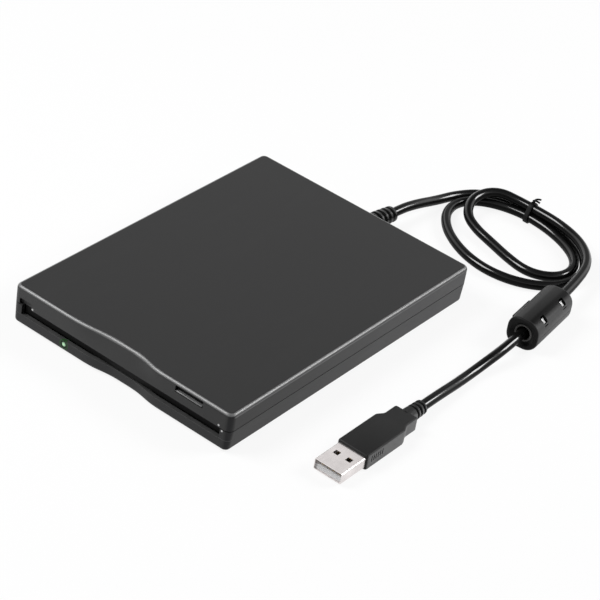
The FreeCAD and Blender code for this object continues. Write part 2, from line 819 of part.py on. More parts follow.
def build_flap_spring():
    """Torsion spring round the flap's pin, its long leg up under the roof."""
    x0 = spring_neck + seat_gap
    x1 = spring_neck + side_wall - seat_gap
    coil = cut(
        bar_x(flap_pin_y, flap_pin_z, x0, x1, flap_knuckle),
        [bar_x(flap_pin_y, flap_pin_z, x0 - side_wall, x1 + side_wall, flap_pin_radius + pin_clearance)],
    )
    leg_y = flap_pin_y + flap_knuckle / 2.0
    leg = block(
        x0, x0 + spring_wire * 2.0, leg_y, leg_y + spring_wire * 1.6, flap_pin_z + spring_wire, inner_roof,
    )
    return join([coil, leg])


# --------------------------------------------------------------------- chassis
def build_chassis():
    """Pressed steel frame: floor, two side walls and a low back wall."""
    base = block(-chassis_outer, chassis_outer, mech_front, mech_rear, inner_floor, base_top)
    wall = block(chassis_inner, chassis_outer, mech_front, mech_rear, inner_floor, chassis_top)
    back = block(-chassis_outer, chassis_outer, mech_rear - chassis_wall, mech_rear, inner_floor, rail_top)
    lug = block(
        spring_x - spring_radius, chassis_inner + seat_gap,
        spring_rear_y, spring_rear_y + spring_lug, rail_top + seat_gap * 3.0, chassis_top,
    )
    pads = []
    for x, y in controller_posts:
        pads.append(post(x, y, base_top - seat_gap, controller_bottom, case_screw_radius))
    frame = join([base, wall, mirror_x(wall), back, lug, mirror_x(lug)] + pads)
    tools = [post(0, spindle_y, 0, base_top + seat_gap, rotor_radius + side_wall)]
    half = guide_pin_radius + slide_clearance
    for y in guide_pin_y:
        tools.append(slot_prism_x(y, guide_pin_z - load_drop, y, guide_pin_z, half, -far, far))
    for x, y in chassis_screw_points:
        tools.append(post(x, y, 0, base_top + seat_gap, chassis_screw_radius + pin_clearance))
    y0 = mech_rear - side_wall
    y1 = mech_rear + side_wall
    tools.append(block(
        ribbon_x0 - window_rim, ribbon_x1 + window_rim, y0, y1, base_top + window_rim,
        controller_top + ribbon_arch * 2.0,
    ))
    tools.append(block(-carriage_half, chassis_inner / 2.0, y0, y1, screw_z + window_rim, far))
    for y in window_y:
        tools.append(block(
            -far, far, y - window_length / 2.0, y + window_length / 2.0, rail_bottom + window_rim,
            rail_top - window_rim,
        ))
    return cut(frame, tools)


def build_mech_cover():
    """Flat lid of the mechanism, with two openings."""
    plate = block(-chassis_outer, chassis_outer, mech_front, mech_rear, chassis_top, mech_cover_top)
    openings = []
    x1 = chassis_outer - cover_window_edge
    y0 = mech_front + cover_window_inner + carrier_stop
    y1 = spindle_y + cover_window_inner
    for x0, x1 in ((-x1, -cover_window_inner), (cover_window_inner, x1)):
        openings.append(block(x0, x1, y0, y1, 0, far))
    plate = cut(plate, openings)
    corners = []
    for edge in plate.Edges:
        box = edge.BoundBox
        upright = box.ZLength > cover_sheet / 2.0
        if upright and abs(box.XMin) < chassis_inner - cover_window_radius:
            corners.append(edge)
    return plate.makeFillet(cover_window_radius, corners)


def build_chassis_screws():
    """Countersunk screws that hold the chassis down to the lower shell."""
    screws = []
    rise = chassis_screw_head - chassis_screw_radius
    for x, y in chassis_screw_points:
        head = Part.makeCone(
            chassis_screw_head, chassis_screw_radius, rise, Vec(x, y, case_bottom + pin_clearance),
        )
        shank = post(x, y, case_bottom + rise / 2.0, base_top, chassis_screw_radius)
        reach = screw_seat
        recess = block(
            x - reach, x + reach, y - spring_wire, y + spring_wire, 0, case_bottom + chassis_screw_recess,
        )
        cross = turned(recess, (x, y, 0), (0, 0, 1), 90)
        screws.append(cut(join([head, shank]), [recess, cross]))
    return group(screws)


# ----------------------------------------------------- carrier and eject slide
def build_carrier():
    """Sheet cradle that takes the disk in and lowers it on to the hub."""
    plate = block(-carrier_outer, carrier_outer, mech_front, carrier_rear, carrier_ceiling, carrier_top)
    stop = disk_rear + carrier_stop
    wall = block(carrier_inner, carrier_outer, mech_front, stop, carrier_floor, carrier_top)
    lip = block(carrier_inner - carrier_lip, carrier_outer, mech_front, stop, carrier_floor, carrier_bed)
    frame = join([plate, wall, mirror_x(wall), lip, mirror_x(lip)])
    low = carrier_ceiling - carrier_plate
    high = carrier_top + carrier_plate
    head_gate = block(-gate_half, gate_half, arm_front - head_stroke - gate_room, far, low, high)
    screw_gate = block(
        rod_x[1] + ear_rise, screw_x + carrier_tail + sheet_gap, disk_rear - window_rim, far, low, high,
    )
    lightening = block(
        lightening_inner, carrier_inner - lightening_edge,
        mech_front + cover_window_inner, spindle_y + cover_window_inner, low, high,
    )
    edges = [edge for edge in lightening.Edges if edge.BoundBox.ZLength > carrier_plate]
    lightening = lightening.makeFillet(lightening_radius, edges)
    return cut(frame, [head_gate, screw_gate, lightening, lever_track()])


def lever_track():
    """Curved slot that the lever's pin sweeps."""
    half = lever_pin_radius + slide_clearance * 2.0
    cx, cy = lever_pivot
    low = carrier_ceiling - carrier_plate
    high = carrier_top + carrier_plate
    ring = post(cx, cy, low, high, lever_length + half)
    ring = ring.cut(post(cx, cy, 0, far, lever_length - half))
    start = math.radians(lever_rest_angle)
    wedge = Part.makeCylinder(
        lever_length * 2.0, far, Vec(cx, cy, 0), Vec(0, 0, 1), lever_swing,
    )
    wedge.rotate(Vec(cx, cy, 0), Vec(0, 0, 1), lever_rest_angle)
    track = [ring.common(wedge)]
    for angle in (start, start + math.radians(lever_swing)):
        x = cx + lever_length * math.cos(angle)
        y = cy + lever_length * math.sin(angle)
        track.append(post(x, y, low, high, half))
    return join(track)


def build_carrier_pins():
    """Four guide pins riveted to the carrier's sides."""
    pins = []
    for y in guide_pin_y:
        pin = bar_x(y, guide_pin_z, carrier_outer, chassis_outer - seat_gap, guide_pin_radius)
        pins.append(pin)
        pins.append(mirror_x(pin))
    return group(pins)


def build_slide_plate():
    """Eject slide: two side rails with ramp slots, a front bridge and the button's tongue."""
    rail = block(rail_inner, rail_outer, rail_front, rail_rear, rail_bottom, rail_top)
    half = guide_pin_radius + slide_clearance
    for y in guide_pin_y:
        ramp = slot_prism_x(y, guide_pin_z, y + eject_travel, guide_pin_z - load_drop, half, 0, far)
        rail = rail.cut(ramp)
    rim = window_rim * 1.8
    for y in window_y:
        rail = rail.cut(block(0, far, y - carrier_tail, y + carrier_tail, rail_bottom + rim, rail_top - rim))
    bridge = block(
        -rail_outer, rail_outer, rail_front, rail_front + rail_bridge, rail_top - tongue_sheet, rail_top,
    )
    x0 = tongue_x - tongue_width / 2.0
    x1 = tongue_x + tongue_width / 2.0
    riser = block(
        x0, x1, rail_front, rail_front + tongue_sheet, rail_top - tongue_sheet, tongue_z + tongue_sheet,
    )
    tongue = block(x0, x1, tongue_front, rail_front + tongue_sheet, tongue_z, tongue_z + tongue_sheet)
    lug = block(
        spring_x - spring_radius, rail_outer, lug_y - spring_lug, lug_y,
        rail_top - window_rim, chassis_top - seat_gap * 3.0,
    )
    return join([rail, mirror_x(rail), bridge, riser, tongue, lug, mirror_x(lug)])


def build_button():
    """Eject button with a finger face and a stem that takes the slide's tongue."""
    head = block(
        button_left, button_left + button_width, front, front + button_thickness,
        button_bottom, button_bottom + button_height,
    )
    edges = [edge for edge in head.Edges if edge.BoundBox.YMax < front + seat_gap]
    head = head.makeFillet(button_edge, edges)
    stem = block(
        tongue_x - button_stem_width / 2.0, tongue_x + button_stem_width / 2.0,
        front + button_thickness - seat_gap, front + button_thickness + button_stem_length,
        button_bottom, button_bottom + button_stem_height,
    )
    pocket = block(
        tongue_x - tongue_width / 2.0, tongue_x + tongue_width / 2.0, tongue_front, far,
        tongue_z, tongue_z + tongue_sheet,
    )
    return cut(join([head, stem]), [pocket])


def build_eject_springs():
    """Two coil springs between the chassis lugs and the eject slide."""
    turns_pitch = (spring_length - spring_wire * 2.0) / spring_turns
    radius = spring_radius - spring_wire
    helix = Part.makeHelix(turns_pitch, turns_pitch * spring_turns, radius)
    section = Part.Wire(Part.makeCircle(spring_wire, Vec(radius, 0, 0), Vec(0, 1, 0)))
    coil = Part.Wire(helix).makePipeShell([section], True, True)
    coil.rotate(Vec(0, 0, 0), Vec(1, 0, 0), 90)
    coil.translate(Vec(spring_x, spring_rear_y - spring_wire, spring_z))
    return group([coil, mirror_x(coil)])


def build_lever():
    """Lever that draws the disk's shutter aside as the disk goes in."""
    cx, cy = lever_pivot
    half = lever_width / 2.0
    plate = join([
        block(0, lever_length, -half, half, lever_bottom, lever_top),
        post(0, 0, lever_bottom, lever_top, lever_hub),
        post(lever_length, 0, lever_bottom, lever_top, half),
        post(lever_length, 0, slot_bottom + lever_pin_foot, lever_bottom + seat_gap, lever_pin_radius),
    ])
    plate = plate.cut(post(0, 0, 0, far, lever_pivot_radius + pin_clearance))
    plate.rotate(Vec(0, 0, 0), Vec(0, 0, 1), lever_rest_angle)
    plate.translate(Vec(cx, cy, 0))
    return plate


def build_lever_pivot():
    """Shouldered pin that holds the lever to the carrier."""
    cx, cy = lever_pivot
    top = lever_top + lever_pivot_rise
    shank = post(cx, cy, carrier_top, top, lever_pivot_radius)
    head = post(cx, cy, top - carrier_plate, top, lever_pivot_head)
    return join([shank, head])


def build_lever_spring():
    """Torsion spring over the lever's hub."""
    cx, cy = lever_pivot
    low = lever_top + seat_gap
    outer = lever_pivot_radius + seat_gap * 2.0 + lever_spring_width
    coil = post(cx, cy, low, low + lever_spring_width, outer)
    coil = coil.cut(post(cx, cy, 0, far, outer - lever_spring_width))
    leg = block(
        cx - lever_spring_leg, cx, cy + outer - spring_wire * 2.2, cy + outer - spring_wire * 0.2,
        low, low + spring_wire * 2.0,
    )
    return join([coil, leg])


# --------------------------------------------------------------- spindle motor
def build_motor_board():
    """Thin steel-backed board that carries the motor."""
    disc = post(0, spindle_y, inner_floor, board_top, rotor_radius + motor_board_rim)
    return disc.cut(post(0, spindle_y, 0, far, spindle_radius + seat_gap))


def build_stator():
    """Ring of flat coils."""
    inner = bearing_radius + coil_rim
    outer = rotor_radius - magnet_width - sheet_gap * 2.0
    ring = post(0, spindle_y, board_top, board_top + coil_height / 2.0, outer)
    coils = [ring.cut(post(0, spindle_y, 0, far, inner))]
    width = 2.0 * math.pi * inner / coil_count
    for index in range(coil_count):
        coil = block(inner, outer - seat_gap * 2.0, -width / 2.0, width / 2.0, 0, coil_height)
        coil = coil.cut(block(
            inner + coil_rim, outer - seat_gap * 4.0 - coil_rim, -width / 6.0, width / 6.0, 0, far,
        ))
        coil.rotate(Vec(0, 0, 0), Vec(0, 0, 1), 360.0 * index / coil_count)
        coil.translate(Vec(0, spindle_y, board_top))
        coils.append(coil)
    return join(coils)


def build_bearing():
    """Sintered sleeve for the spindle."""
    sleeve = post(0, spindle_y, board_top, hub_top - window_rim - seat_gap, bearing_radius)
    return sleeve.cut(post(0, spindle_y, 0, far, spindle_radius + pin_clearance / 2.0))


def build_rotor():
    """Rotor plate and chuck that carries the disk's hub."""
    plate = post(0, spindle_y, rotor_bottom, rotor_top, rotor_radius)
    chuck = post(0, spindle_y, rotor_bottom, hub_top, hub_radius)
    chuck = chuck.makeChamfer(
        hub_chamfer, [edge for edge in chuck.Edges if edge.BoundBox.ZMin > hub_top - seat_gap],
    )
    cavity = post(0, spindle_y, 0, hub_top - window_rim, bearing_radius + seat_gap * 3.0)
    bore = post(0, spindle_y, 0, far, spindle_radius)
    recess = post(0, spindle_y, hub_top - hub_recess_depth, far, hub_recess_outer)
    recess = recess.cut(post(0, spindle_y, 0, far, hub_recess_inner))
    return cut(join([plate, chuck]), [cavity, bore, recess])


def build_magnet():
    """Ring magnet under the rotor plate."""
    outer = rotor_radius - seat_gap * 2.0
    ring = post(0, spindle_y, rotor_bottom - magnet_height, rotor_bottom, outer)
    return ring.cut(post(0, spindle_y, 0, far, outer - magnet_width))


def build_spindle_shaft():
    """Spindle pressed in the chuck."""
    shaft = post(0, spindle_y, inner_floor + seat_gap, hub_top + spindle_stand, spindle_radius)
    return shaft.makeChamfer(
        spindle_stand / 2.0, [edge for edge in shaft.Edges if edge.BoundBox.ZMin > hub_top],
    )


def build_drive_pin():
    """Pin that turns the disk's hub."""
    return post(
        drive_pin_offset, spindle_y, hub_top - hub_recess_depth, hub_top + spindle_stand, drive_pin_radius,
    )


# -------------------------------------------------------------------- head unit
def build_guide_rods():
    """Two ground rods that guide the head carriage."""
    rods = []
    for x in rod_x:
        rods.append(bar_y(x, rod_height, rod_front, rod_rear, rod_radius))
    return group(rods)


def build_rod_clips():
    """Four seats that hold the ends of the rods."""
    clips = []
    for x in rod_x:
        for y in (rod_front, rod_rear - clip_length):
            clip = block(
                x - clip_width / 2.0, x + clip_width / 2.0, y, y + clip_length, base_top, clip_height,
            )
            clips.append(clip.cut(bar_y(x, rod_height, y - clip_rim, y + clip_length + clip_rim, rod_radius)))
    return group(clips)


def build_carriage():
    """Cast carriage: bushing on one rod, fork on the other, lower arm, track flag and two ears."""
    x_fork, x_bush = rod_x
    low = base_top + seat_gap
    right = x_bush - clip_width / 2.0 - sheet_gap
    body = block(-carriage_half, right, carriage_front, carriage_rear, low, carriage_top)
    bush = block(
        x_bush - bushing_wall, x_bush + bushing_wall + window_rim, bushing_front, carriage_rear, low,
        carriage_top,
    )
    arm = block(
        -head_width, head_width, arm_front - window_rim, carriage_front + window_rim, low, low + carriage_arm,
    )
    middle = (bushing_front + carriage_rear) / 2.0
    fork = block(
        x_fork - clip_width / 2.0, 0, middle - fork_length / 2.0, middle + fork_length / 2.0,
        rod_height - clip_rim, rod_height + clip_rim,
    )
    ears = []
    inner = arm_half + seat_gap * 3.0
    for x0 in (inner, -inner - arm_ear):
        ears.append(block(
            x0, x0 + arm_ear, arm_pivot_y - arm_window_rim, arm_pivot_y + arm_window_rim,
            carriage_top - sheet_gap, arm_pivot_z + ear_rise,
        ))
    y = bushing_front + flag_set
    high = base_top + sensor_height + seat_gap * 1.5
    top = high + flag_sheet
    flag_bar = block(flag_x, window_rim - carriage_half, y, y + flag_width, high, top)
    flag = block(flag_x, flag_x + flag_sheet, y, y + flag_width, rod_height, top)
    body = join([body, bush, arm, fork, flag_bar, flag] + ears)
    gap = rod_radius + slide_clearance
    tools = [
        bar_y(x_bush, rod_height, 0, far, rod_radius + pin_clearance),
        bar_y(x_fork, rod_height, 0, far, gap),
        block(x_fork - clip_width, x_fork, 0, far, rod_height - gap, rod_height + gap),
        bar_x(arm_pivot_y, arm_pivot_z, -far, far, arm_pin_radius),
        block(
            carriage_pocket * 2.0 - carriage_half, carriage_half - seat_gap * 5.0,
            carriage_front + carriage_pocket, carriage_rear - carriage_pocket,
            base_top + bushing_wall / 2.0, far,
        ),
    ]
    return cut(body, tools)


def build_lower_head():
    """Fixed head on the carriage's lower arm."""
    head = block(
        -head_width / 2.0, head_width / 2.0, head_y - head_length / 2.0, head_y + head_length / 2.0,
        base_top + seat_gap + carriage_arm, lower_head_top,
    )
    edges = [edge for edge in head.Edges if edge.BoundBox.ZMin > lower_head_top - seat_gap]
    return head.makeChamfer(head_chamfer, edges)


def build_head_arm():
    """Upper arm, hinged at the carriage, raised clear of the disk."""
    low = arm_pivot_z - arm_sheet / 2.0
    high = low + arm_crank_rise
    arm = block(-arm_half, arm_half, arm_crank_y, arm_pivot_y, low, low + arm_sheet)
    tip = block(-arm_half, arm_half, arm_front, arm_crank_y + arm_sheet, high, high + arm_sheet)
    web = block(-arm_half, arm_half, arm_crank_y, arm_crank_y + arm_sheet, low, high + arm_sheet)
    inner = arm_half - arm_window_rim
    window = block(-inner, inner, arm_crank_y + arm_half, arm_pivot_y - arm_half, 0, far)
    knuckle = bar_x(arm_pivot_y, arm_pivot_z, -arm_half, arm_half, arm_knuckle)
    bore = bar_x(arm_pivot_y, arm_pivot_z, -far, far, arm_pin_radius + pin_clearance)
    return cut(join([arm, tip, web, knuckle]), [window, bore])


def build_upper_head():
    """Upper head, square to the disk once the arm is down, carried on a wedge under the arm."""
    low = lower_head_top + head_gap
    pad = block(
        -head_width / 2.0, head_width / 2.0, head_y - head_length / 2.0, head_y + head_length / 2.0,
        low, low + upper_head_height,
    )
    pad = turned(pad, (0, arm_pivot_y, arm_pivot_z), (1, 0, 0), -arm_swing)
    return pad.cut(block(-far, far, -far, far, arm_pivot_z - arm_sheet / 2.0 + arm_crank_rise, far))


def build_arm_pin():
    """Hinge pin of the upper arm, pressed in the carriage's ears."""
    reach = arm_half + seat_gap * 3.0 + arm_ear
    return bar_x(arm_pivot_y, arm_pivot_z, -reach, reach, arm_pin_radius)


def build_lead_screw():
    """Lead screw with its two journals."""
    body = bar_y(
        screw_x, screw_z, screw_front + seat_gap, bracket_rear - bracket_sheet - seat_gap, screw_radius,
    )
    tail = bar_y(screw_x, screw_z, rod_front, stepper_front + journal_reach, journal_radius)
    return join([body, tail])


def build_stepper():
    """Stepper motor can on its bracket."""
    can = bar_y(screw_x, screw_z, stepper_front, mech_rear - chassis_wall, stepper_radius)
    cup_end = stepper_front + journal_reach + seat_gap * 3.0
    cup = bar_y(screw_x, screw_z, stepper_front - window_rim, cup_end, journal_radius + pin_clearance)
    band = block(
        screw_x - stepper_band, screw_x + stepper_band,
        stepper_front + journal_reach, mech_rear - chassis_wall - window_rim, base_top, screw_z,
    )
    return cut(join([can, band]), [cup])


def build_screw_bracket():
    """Bent bracket with a bearing ear at each end of the screw."""
    left = screw_x - bracket_half
    right = screw_x + bracket_half
    strip = block(left, right, rod_front, bracket_rear, base_top, base_top + bracket_sheet)
    ears = []
    for y in (rod_front, bracket_rear - bracket_sheet):
        ears.append(block(left, right, y, y + bracket_sheet, base_top, screw_z + bracket_head))
    bracket = join([strip] + ears)
    return bracket.cut(bar_y(screw_x, screw_z, 0, far, journal_radius + pin_clearance))


def build_follower():
    """Half nut on the carriage that rides on the lead screw."""
    plate = block(
        rod_x[1] + clip_width / 2.0 + seat_gap * 3.0, screw_x + stepper_band,
        bushing_front - follower_sheet, bushing_front, rod_height, screw_z + bracket_head - seat_gap,
    )
    return plate.cut(bar_y(screw_x, screw_z, 0, far, screw_radius + pin_clearance))


def build_track_sensor():
    """Optical sensor for the outermost track."""
    y = bushing_front + flag_set + flag_width / 2.0 - sensor_length / 2.0 + seat_gap * 8.0
    high = base_top + sensor_height
    body = block(sensor_x - sensor_half, sensor_x + sensor_half, y, y + sensor_length, base_top, high)
    return body.cut(block(
        sensor_x - sensor_slot, sensor_x + sensor_slot, 0, far, base_top + sensor_floor, far,
    ))


# ------------------------------------------------------------------ electronics
def board_pieces(low, high, top, pieces):
    """Packages on a board: left, front, right and back as shares of it, height in board thicknesses."""
    width = high[0] - low[0]
    depth = high[1] - low[1]
    made = []
    for x0, y0, x1, y1, height in pieces:
        made.append(block(
            low[0] + x0 * width, low[0] + x1 * width, low[1] + y0 * depth, low[1] + y1 * depth,
            top, top + height * board_thickness,
        ))
    return group(made)


def build_controller():
    """Controller board on its posts, with one corner cut away."""
    board = block(
        controller_left, controller_right, controller_front, controller_rear, controller_bottom,
        controller_top,
    )
    notch_x = controller_right - carrier_tail
    return board.cut(block(notch_x, far, -far, controller_front + clip_width * 0.75, 0, far))


def build_controller_chips():
    """Packages on the controller board."""
    pieces = [
        (0.12, 0.15, 0.5, 0.67, 1.4), (0.62, 0.26, 0.84, 0.49, 1.2),
        (0.6, 0.59, 0.66, 0.72, 0.9), (0.71, 0.59, 0.77, 0.72, 0.9), (0.83, 0.59, 0.89, 0.72, 0.9),
    ]
    low = (controller_left, controller_front)
    return board_pieces(low, (controller_right, controller_rear), controller_top, pieces)


def build_bridge():
    """USB interface board behind the mechanism."""
    return block(
        bridge_left, bridge_right, bridge_front, bridge_front + bridge_depth, bridge_bottom, bridge_top,
    )


def build_bridge_chips():
    """Interface chip, crystal, the lead's header and four small parts."""
    pieces = [
        (0.26, 0.08, 0.36, 0.92, 1.3), (0.43, 0.25, 0.49, 0.69, 2.2), (0.57, 0.25, 0.73, 0.81, 3.6),
        (0.775, 0.38, 0.8, 0.73, 0.8), (0.825, 0.38, 0.85, 0.73, 0.8),
        (0.875, 0.38, 0.9, 0.73, 0.8), (0.925, 0.38, 0.95, 0.73, 0.8),
    ]
    high = (bridge_right, bridge_front + bridge_depth)
    return board_pieces((bridge_left, bridge_front), high, bridge_top, pieces)


def build_ribbon():
    """Flat ribbon that arches from one board to the other."""
    thick = ribbon_sheet
    low = controller_top
    high = low + ribbon_arch
    end = controller_rear
    y0 = end - ribbon_arch * 2.8
    y1 = bridge_front + ribbon_arch * 2.3
    lean = thick * 0.8
    rise = ribbon_arch * 0.8
    y2 = y0 + ribbon_arch * 2.6
    y3 = y1 - ribbon_arch * 2.4
    points = [
        (y0, low), (y2, low), (y2 + rise, high), (y3, high), (y3 + rise, bridge_top), (y1, bridge_top),
        (y1, bridge_top + thick), (y3 + rise + lean, bridge_top + thick), (y3 + lean, high + thick),
        (y2 + rise - lean, high + thick), (y2 - lean, low + thick), (y0, low + thick),
    ]
    return profile_x(points, ribbon_x0, ribbon_x1)


def build_light_pipe():
    """Clear light pipe of the access lamp, domed at the front."""
    rod = bar_y(led_x, led_height, front, led_board_front, led_radius)
    return rod.makeFillet(head_chamfer, [edge for edge in rod.Edges if edge.BoundBox.YMax < front + seat_gap])


def build_led_board():
    """Small board with the access lamp's diode."""
    back = mech_front - board_gap
    top = inner_floor + lamp_board_sheet
    half = led_set_back * 1.5
    board = block(led_x - half, led_x + half, led_board_front + sheet_gap, back, inner_floor, top)
    reach = led_radius + seat_gap
    diode = block(
        led_x - reach, led_x + reach, led_board_front, led_board_front + board_gap * 2.5,
        top - seat_gap * 2.0, led_height + lamp_board_sheet,
    )
    return join([board, diode])


# ------------------------------------------------------------- cord and its kit
def build_strain_relief():
    """Moulded relief: flange inside the wall, neck through it, ribbed tail outside."""
    neck = relief_neck
    inside = rear - side_wall - floor_draft
    collar = rear + relief_collar
    points = [(0, inside - relief_inner), (relief_flange, inside - relief_inner), (relief_flange, inside)]
    points += [(neck, inside), (neck, rear), (relief_flange, rear), (relief_flange, collar)]
    end = rear + relief_length
    pitch = (relief_length - relief_collar - tie_thickness) / relief_ribs
    for index in range(relief_ribs):
        share = (index + 0.5) / relief_ribs
        core = neck - relief_taper * share
        rib = relief_flange - seat_gap * 2.0 - relief_taper * share
        y = collar + pitch * index
        points += [(core, y), (core, y + pitch * 0.45), (rib, y + pitch * 0.45), (rib, y + pitch)]
    points += [(neck - relief_taper, collar + pitch * relief_ribs), (neck - relief_taper, end), (0, end)]
    return revolve_y(points, relief_x, relief_z)


def cord_path(points, report):
    """Straight runs joined by tangent arcs, each as large as its two runs allow."""
    corners = [Vec(*point) for point in points]
    edges = []
    start = corners[0]
    length = 0.0
    for index in range(1, len(corners) - 1):
        here = corners[index]
        back = corners[index - 1] - here
        ahead = corners[index + 1] - here
        reach = 0.45 * min(back.Length, ahead.Length)
        turn = math.pi - back.getAngle(ahead)
        radius = reach / math.tan(turn / 2.0)
        back.normalize()
        ahead.normalize()
        enter = here + back * reach
        leave = here + ahead * reach
        inward = back + ahead
        inward.normalize()
        centre_distance = math.hypot(radius, reach)
        middle = here + inward * (centre_distance - radius)
        edges.append(Part.LineSegment(start, enter).toShape())
        edges.append(Part.Arc(enter, middle, leave).toShape())
        length += (enter - start).Length + radius * turn
        start = leave
        if report:
            print("bend %2d  turn %5.1f deg  radius %6.1f mm" % (index, math.degrees(turn), radius))
    edges.append(Part.LineSegment(start, corners[-1]).toShape())
    length += (corners[-1] - start).Length
    return Part.Wire(edges), length


def build_cord():
    """The lead: a round tube along its route."""
    path, length = cord_path(cord_route, True)
    first = Vec(*cord_route[0])
    along = Vec(*cord_route[1]) - first
    ring = Part.Wire(Part.makeCircle(cord_diameter / 2.0, first, along))
    tube = path.makePipeShell([ring], True, False)
    section = math.pi * cord_diameter ** 2 / 4.0
    print("cord length %.1f mm, volume %.1f, section x length %.1f" % (length, tube.Volume, section * length))
    return tube


def build_tie():
    """Strap tie round the three strands of the lead, with its head and a short tail."""
    strands = tie_strands()
    triangle = Part.makePolygon([Vec(tie_x, y, z) for y, z in strands + strands[:1]])
    reach = cord_diameter / 2.0 + tie_clearance
    inner = Part.Face(triangle.makeOffset2D(reach))
    outer = Part.Face(triangle.makeOffset2D(reach + tie_thickness))
    strap = outer.extrude(Vec(tie_width, 0, 0)).cut(inner.extrude(Vec(tie_width, 0, 0)))
    top_y, top_z = strands[2]
    top = top_z + reach + tie_thickness
    rim = tie_thickness * 0.6
    head = block(
        tie_x - rim, tie_x + tie_width + rim, top_y - rim, top_y + tie_width + tie_thickness,
        top - tie_thickness + seat_gap, top + tie_thickness * 2.0,
    )
    head = head.makeFillet(rim * 0.8, head.Edges)
    tail = block(
        tie_x + rim, tie_x + tie_width - rim, top_y + tie_width * 0.8, top_y + tie_width * 2.8,
        top + seat_gap, top + seat_gap + tie_thickness,
    )
    tail = turned(tail, (tie_x, top_y + tie_width, top), (1, 0, 0), ferrite_yaw * 2.8)
    return join([strap, head, tail])


def tie_strands():
    """Where the lead crosses the middle of the tie, the highest crossing last."""
    path, length = cord_path(cord_route, False)
    middle = tie_x + tie_width / 2.0
    beyond = Vec(middle, far + tie_front, -far / 2.0)
    sheet = Part.makePlane(far, far, beyond, Vec(1, 0, 0), Vec(0, 0, 1))
    crossings = path.section(sheet).Vertexes
    return sorted([(v.Y, v.Z) for v in crossings], key=lambda strand: strand[1])


def ferrite_frame(shape):
    """Move a shape from the clamp's own axes to its place on the lead."""
    placed = shape.copy()
    placed.rotate(Vec(0, 0, 0), Vec(0, 0, 1), ferrite_yaw)
    placed.translate(Vec(ferrite_centre[0], ferrite_centre[1], 0))
    return placed


def ferrite_body():
    """Outer form of the clamp: a square bar with its corners rounded off."""
    half = ferrite_length / 2.0
    bar = block(-ferrite_width / 2.0, ferrite_width / 2.0, -half, half, 0, ferrite_width)
    body = bar.common(bar_y(0, ferrite_axis, -half, half, ferrite_round))
    ends = [edge for edge in body.Edges if edge.BoundBox.YLength < seat_gap]
    return body.makeFillet(ferrite_edge, ends)


def ferrite_shell(lower):
    """One half of the clamp's case."""
    half = ferrite_length / 2.0
    core_half = half - ferrite_wall
    body = ferrite_body()
    body = body.cut(bar_y(0, ferrite_axis, -core_half, core_half, core_radius + core_clearance))
    body = body.cut(bar_y(0, ferrite_axis, -far, far, ferrite_bore))
    if lower:
        return body.cut(block(-far, far, -far, far, ferrite_axis, far))
    return body.cut(block(-far, far, -far, far, -far, ferrite_axis + pin_clearance))


def build_ferrite_base():
    """Lower half of the clamp with its hinge pin and two latch hooks."""
    pieces = [ferrite_shell(True)]
    for y in latch_y:
        pieces.append(block(
            core_radius + slide_clearance * 2.3, ferrite_axis - slide_clearance, y - latch_half,
            y + latch_half,
            ferrite_axis - window_rim, ferrite_axis + latch_rise,
        ))
    for y in (-hinge_half, hinge_half - hinge_ear):
        pieces.append(block(
            hinge_x - hinge_knuckle, ferrite_edge / 2.0 - ferrite_axis, y, y + hinge_ear,
            ferrite_axis - latch_rise, ferrite_axis,
        ))
        pieces.append(bar_y(hinge_x, ferrite_axis, y, y + hinge_ear, hinge_knuckle))
    pieces.append(bar_y(hinge_x, ferrite_axis, -hinge_half, hinge_half, hinge_pin_radius))
    return ferrite_frame(join(pieces))


def build_ferrite_lid():
    """Upper half of the clamp with its knuckle and two latch windows."""
    half = hinge_half - hinge_ear - sheet_gap
    knuckle = bar_y(hinge_x, ferrite_axis, -half, half, hinge_knuckle)
    web = block(
        hinge_x, ferrite_edge / 2.0 - ferrite_axis, -half, half, ferrite_axis + seat_gap,
        ferrite_axis + hinge_knuckle,
    )
    lid = join([ferrite_shell(False), knuckle, web])
    lid = lid.cut(bar_y(hinge_x, ferrite_axis, -hinge_half, hinge_half, hinge_pin_radius + pin_clearance))
    reach = latch_half + seat_gap * 3.0
    for y in latch_y:
        lid = lid.cut(block(
            core_radius + core_clearance, far, y - reach, y + reach, 0,
            ferrite_axis + latch_rise + seat_gap * 3.0,
        ))
    return ferrite_frame(lid)


def ferrite_core(lower):
    """One half of the ferrite bead."""
    half = ferrite_length / 2.0 - ferrite_wall - pin_clearance
    core = bar_y(0, ferrite_axis, -half, half, core_radius)
    core = core.cut(bar_y(0, ferrite_axis, -far, far, ferrite_bore + seat_gap * 2.0))
    if lower:
        core = core.cut(block(-far, far, -far, far, ferrite_axis, far))
    else:
        core = core.cut(block(-far, far, -far, far, -far, ferrite_axis + pin_clearance))
    return ferrite_frame(core)


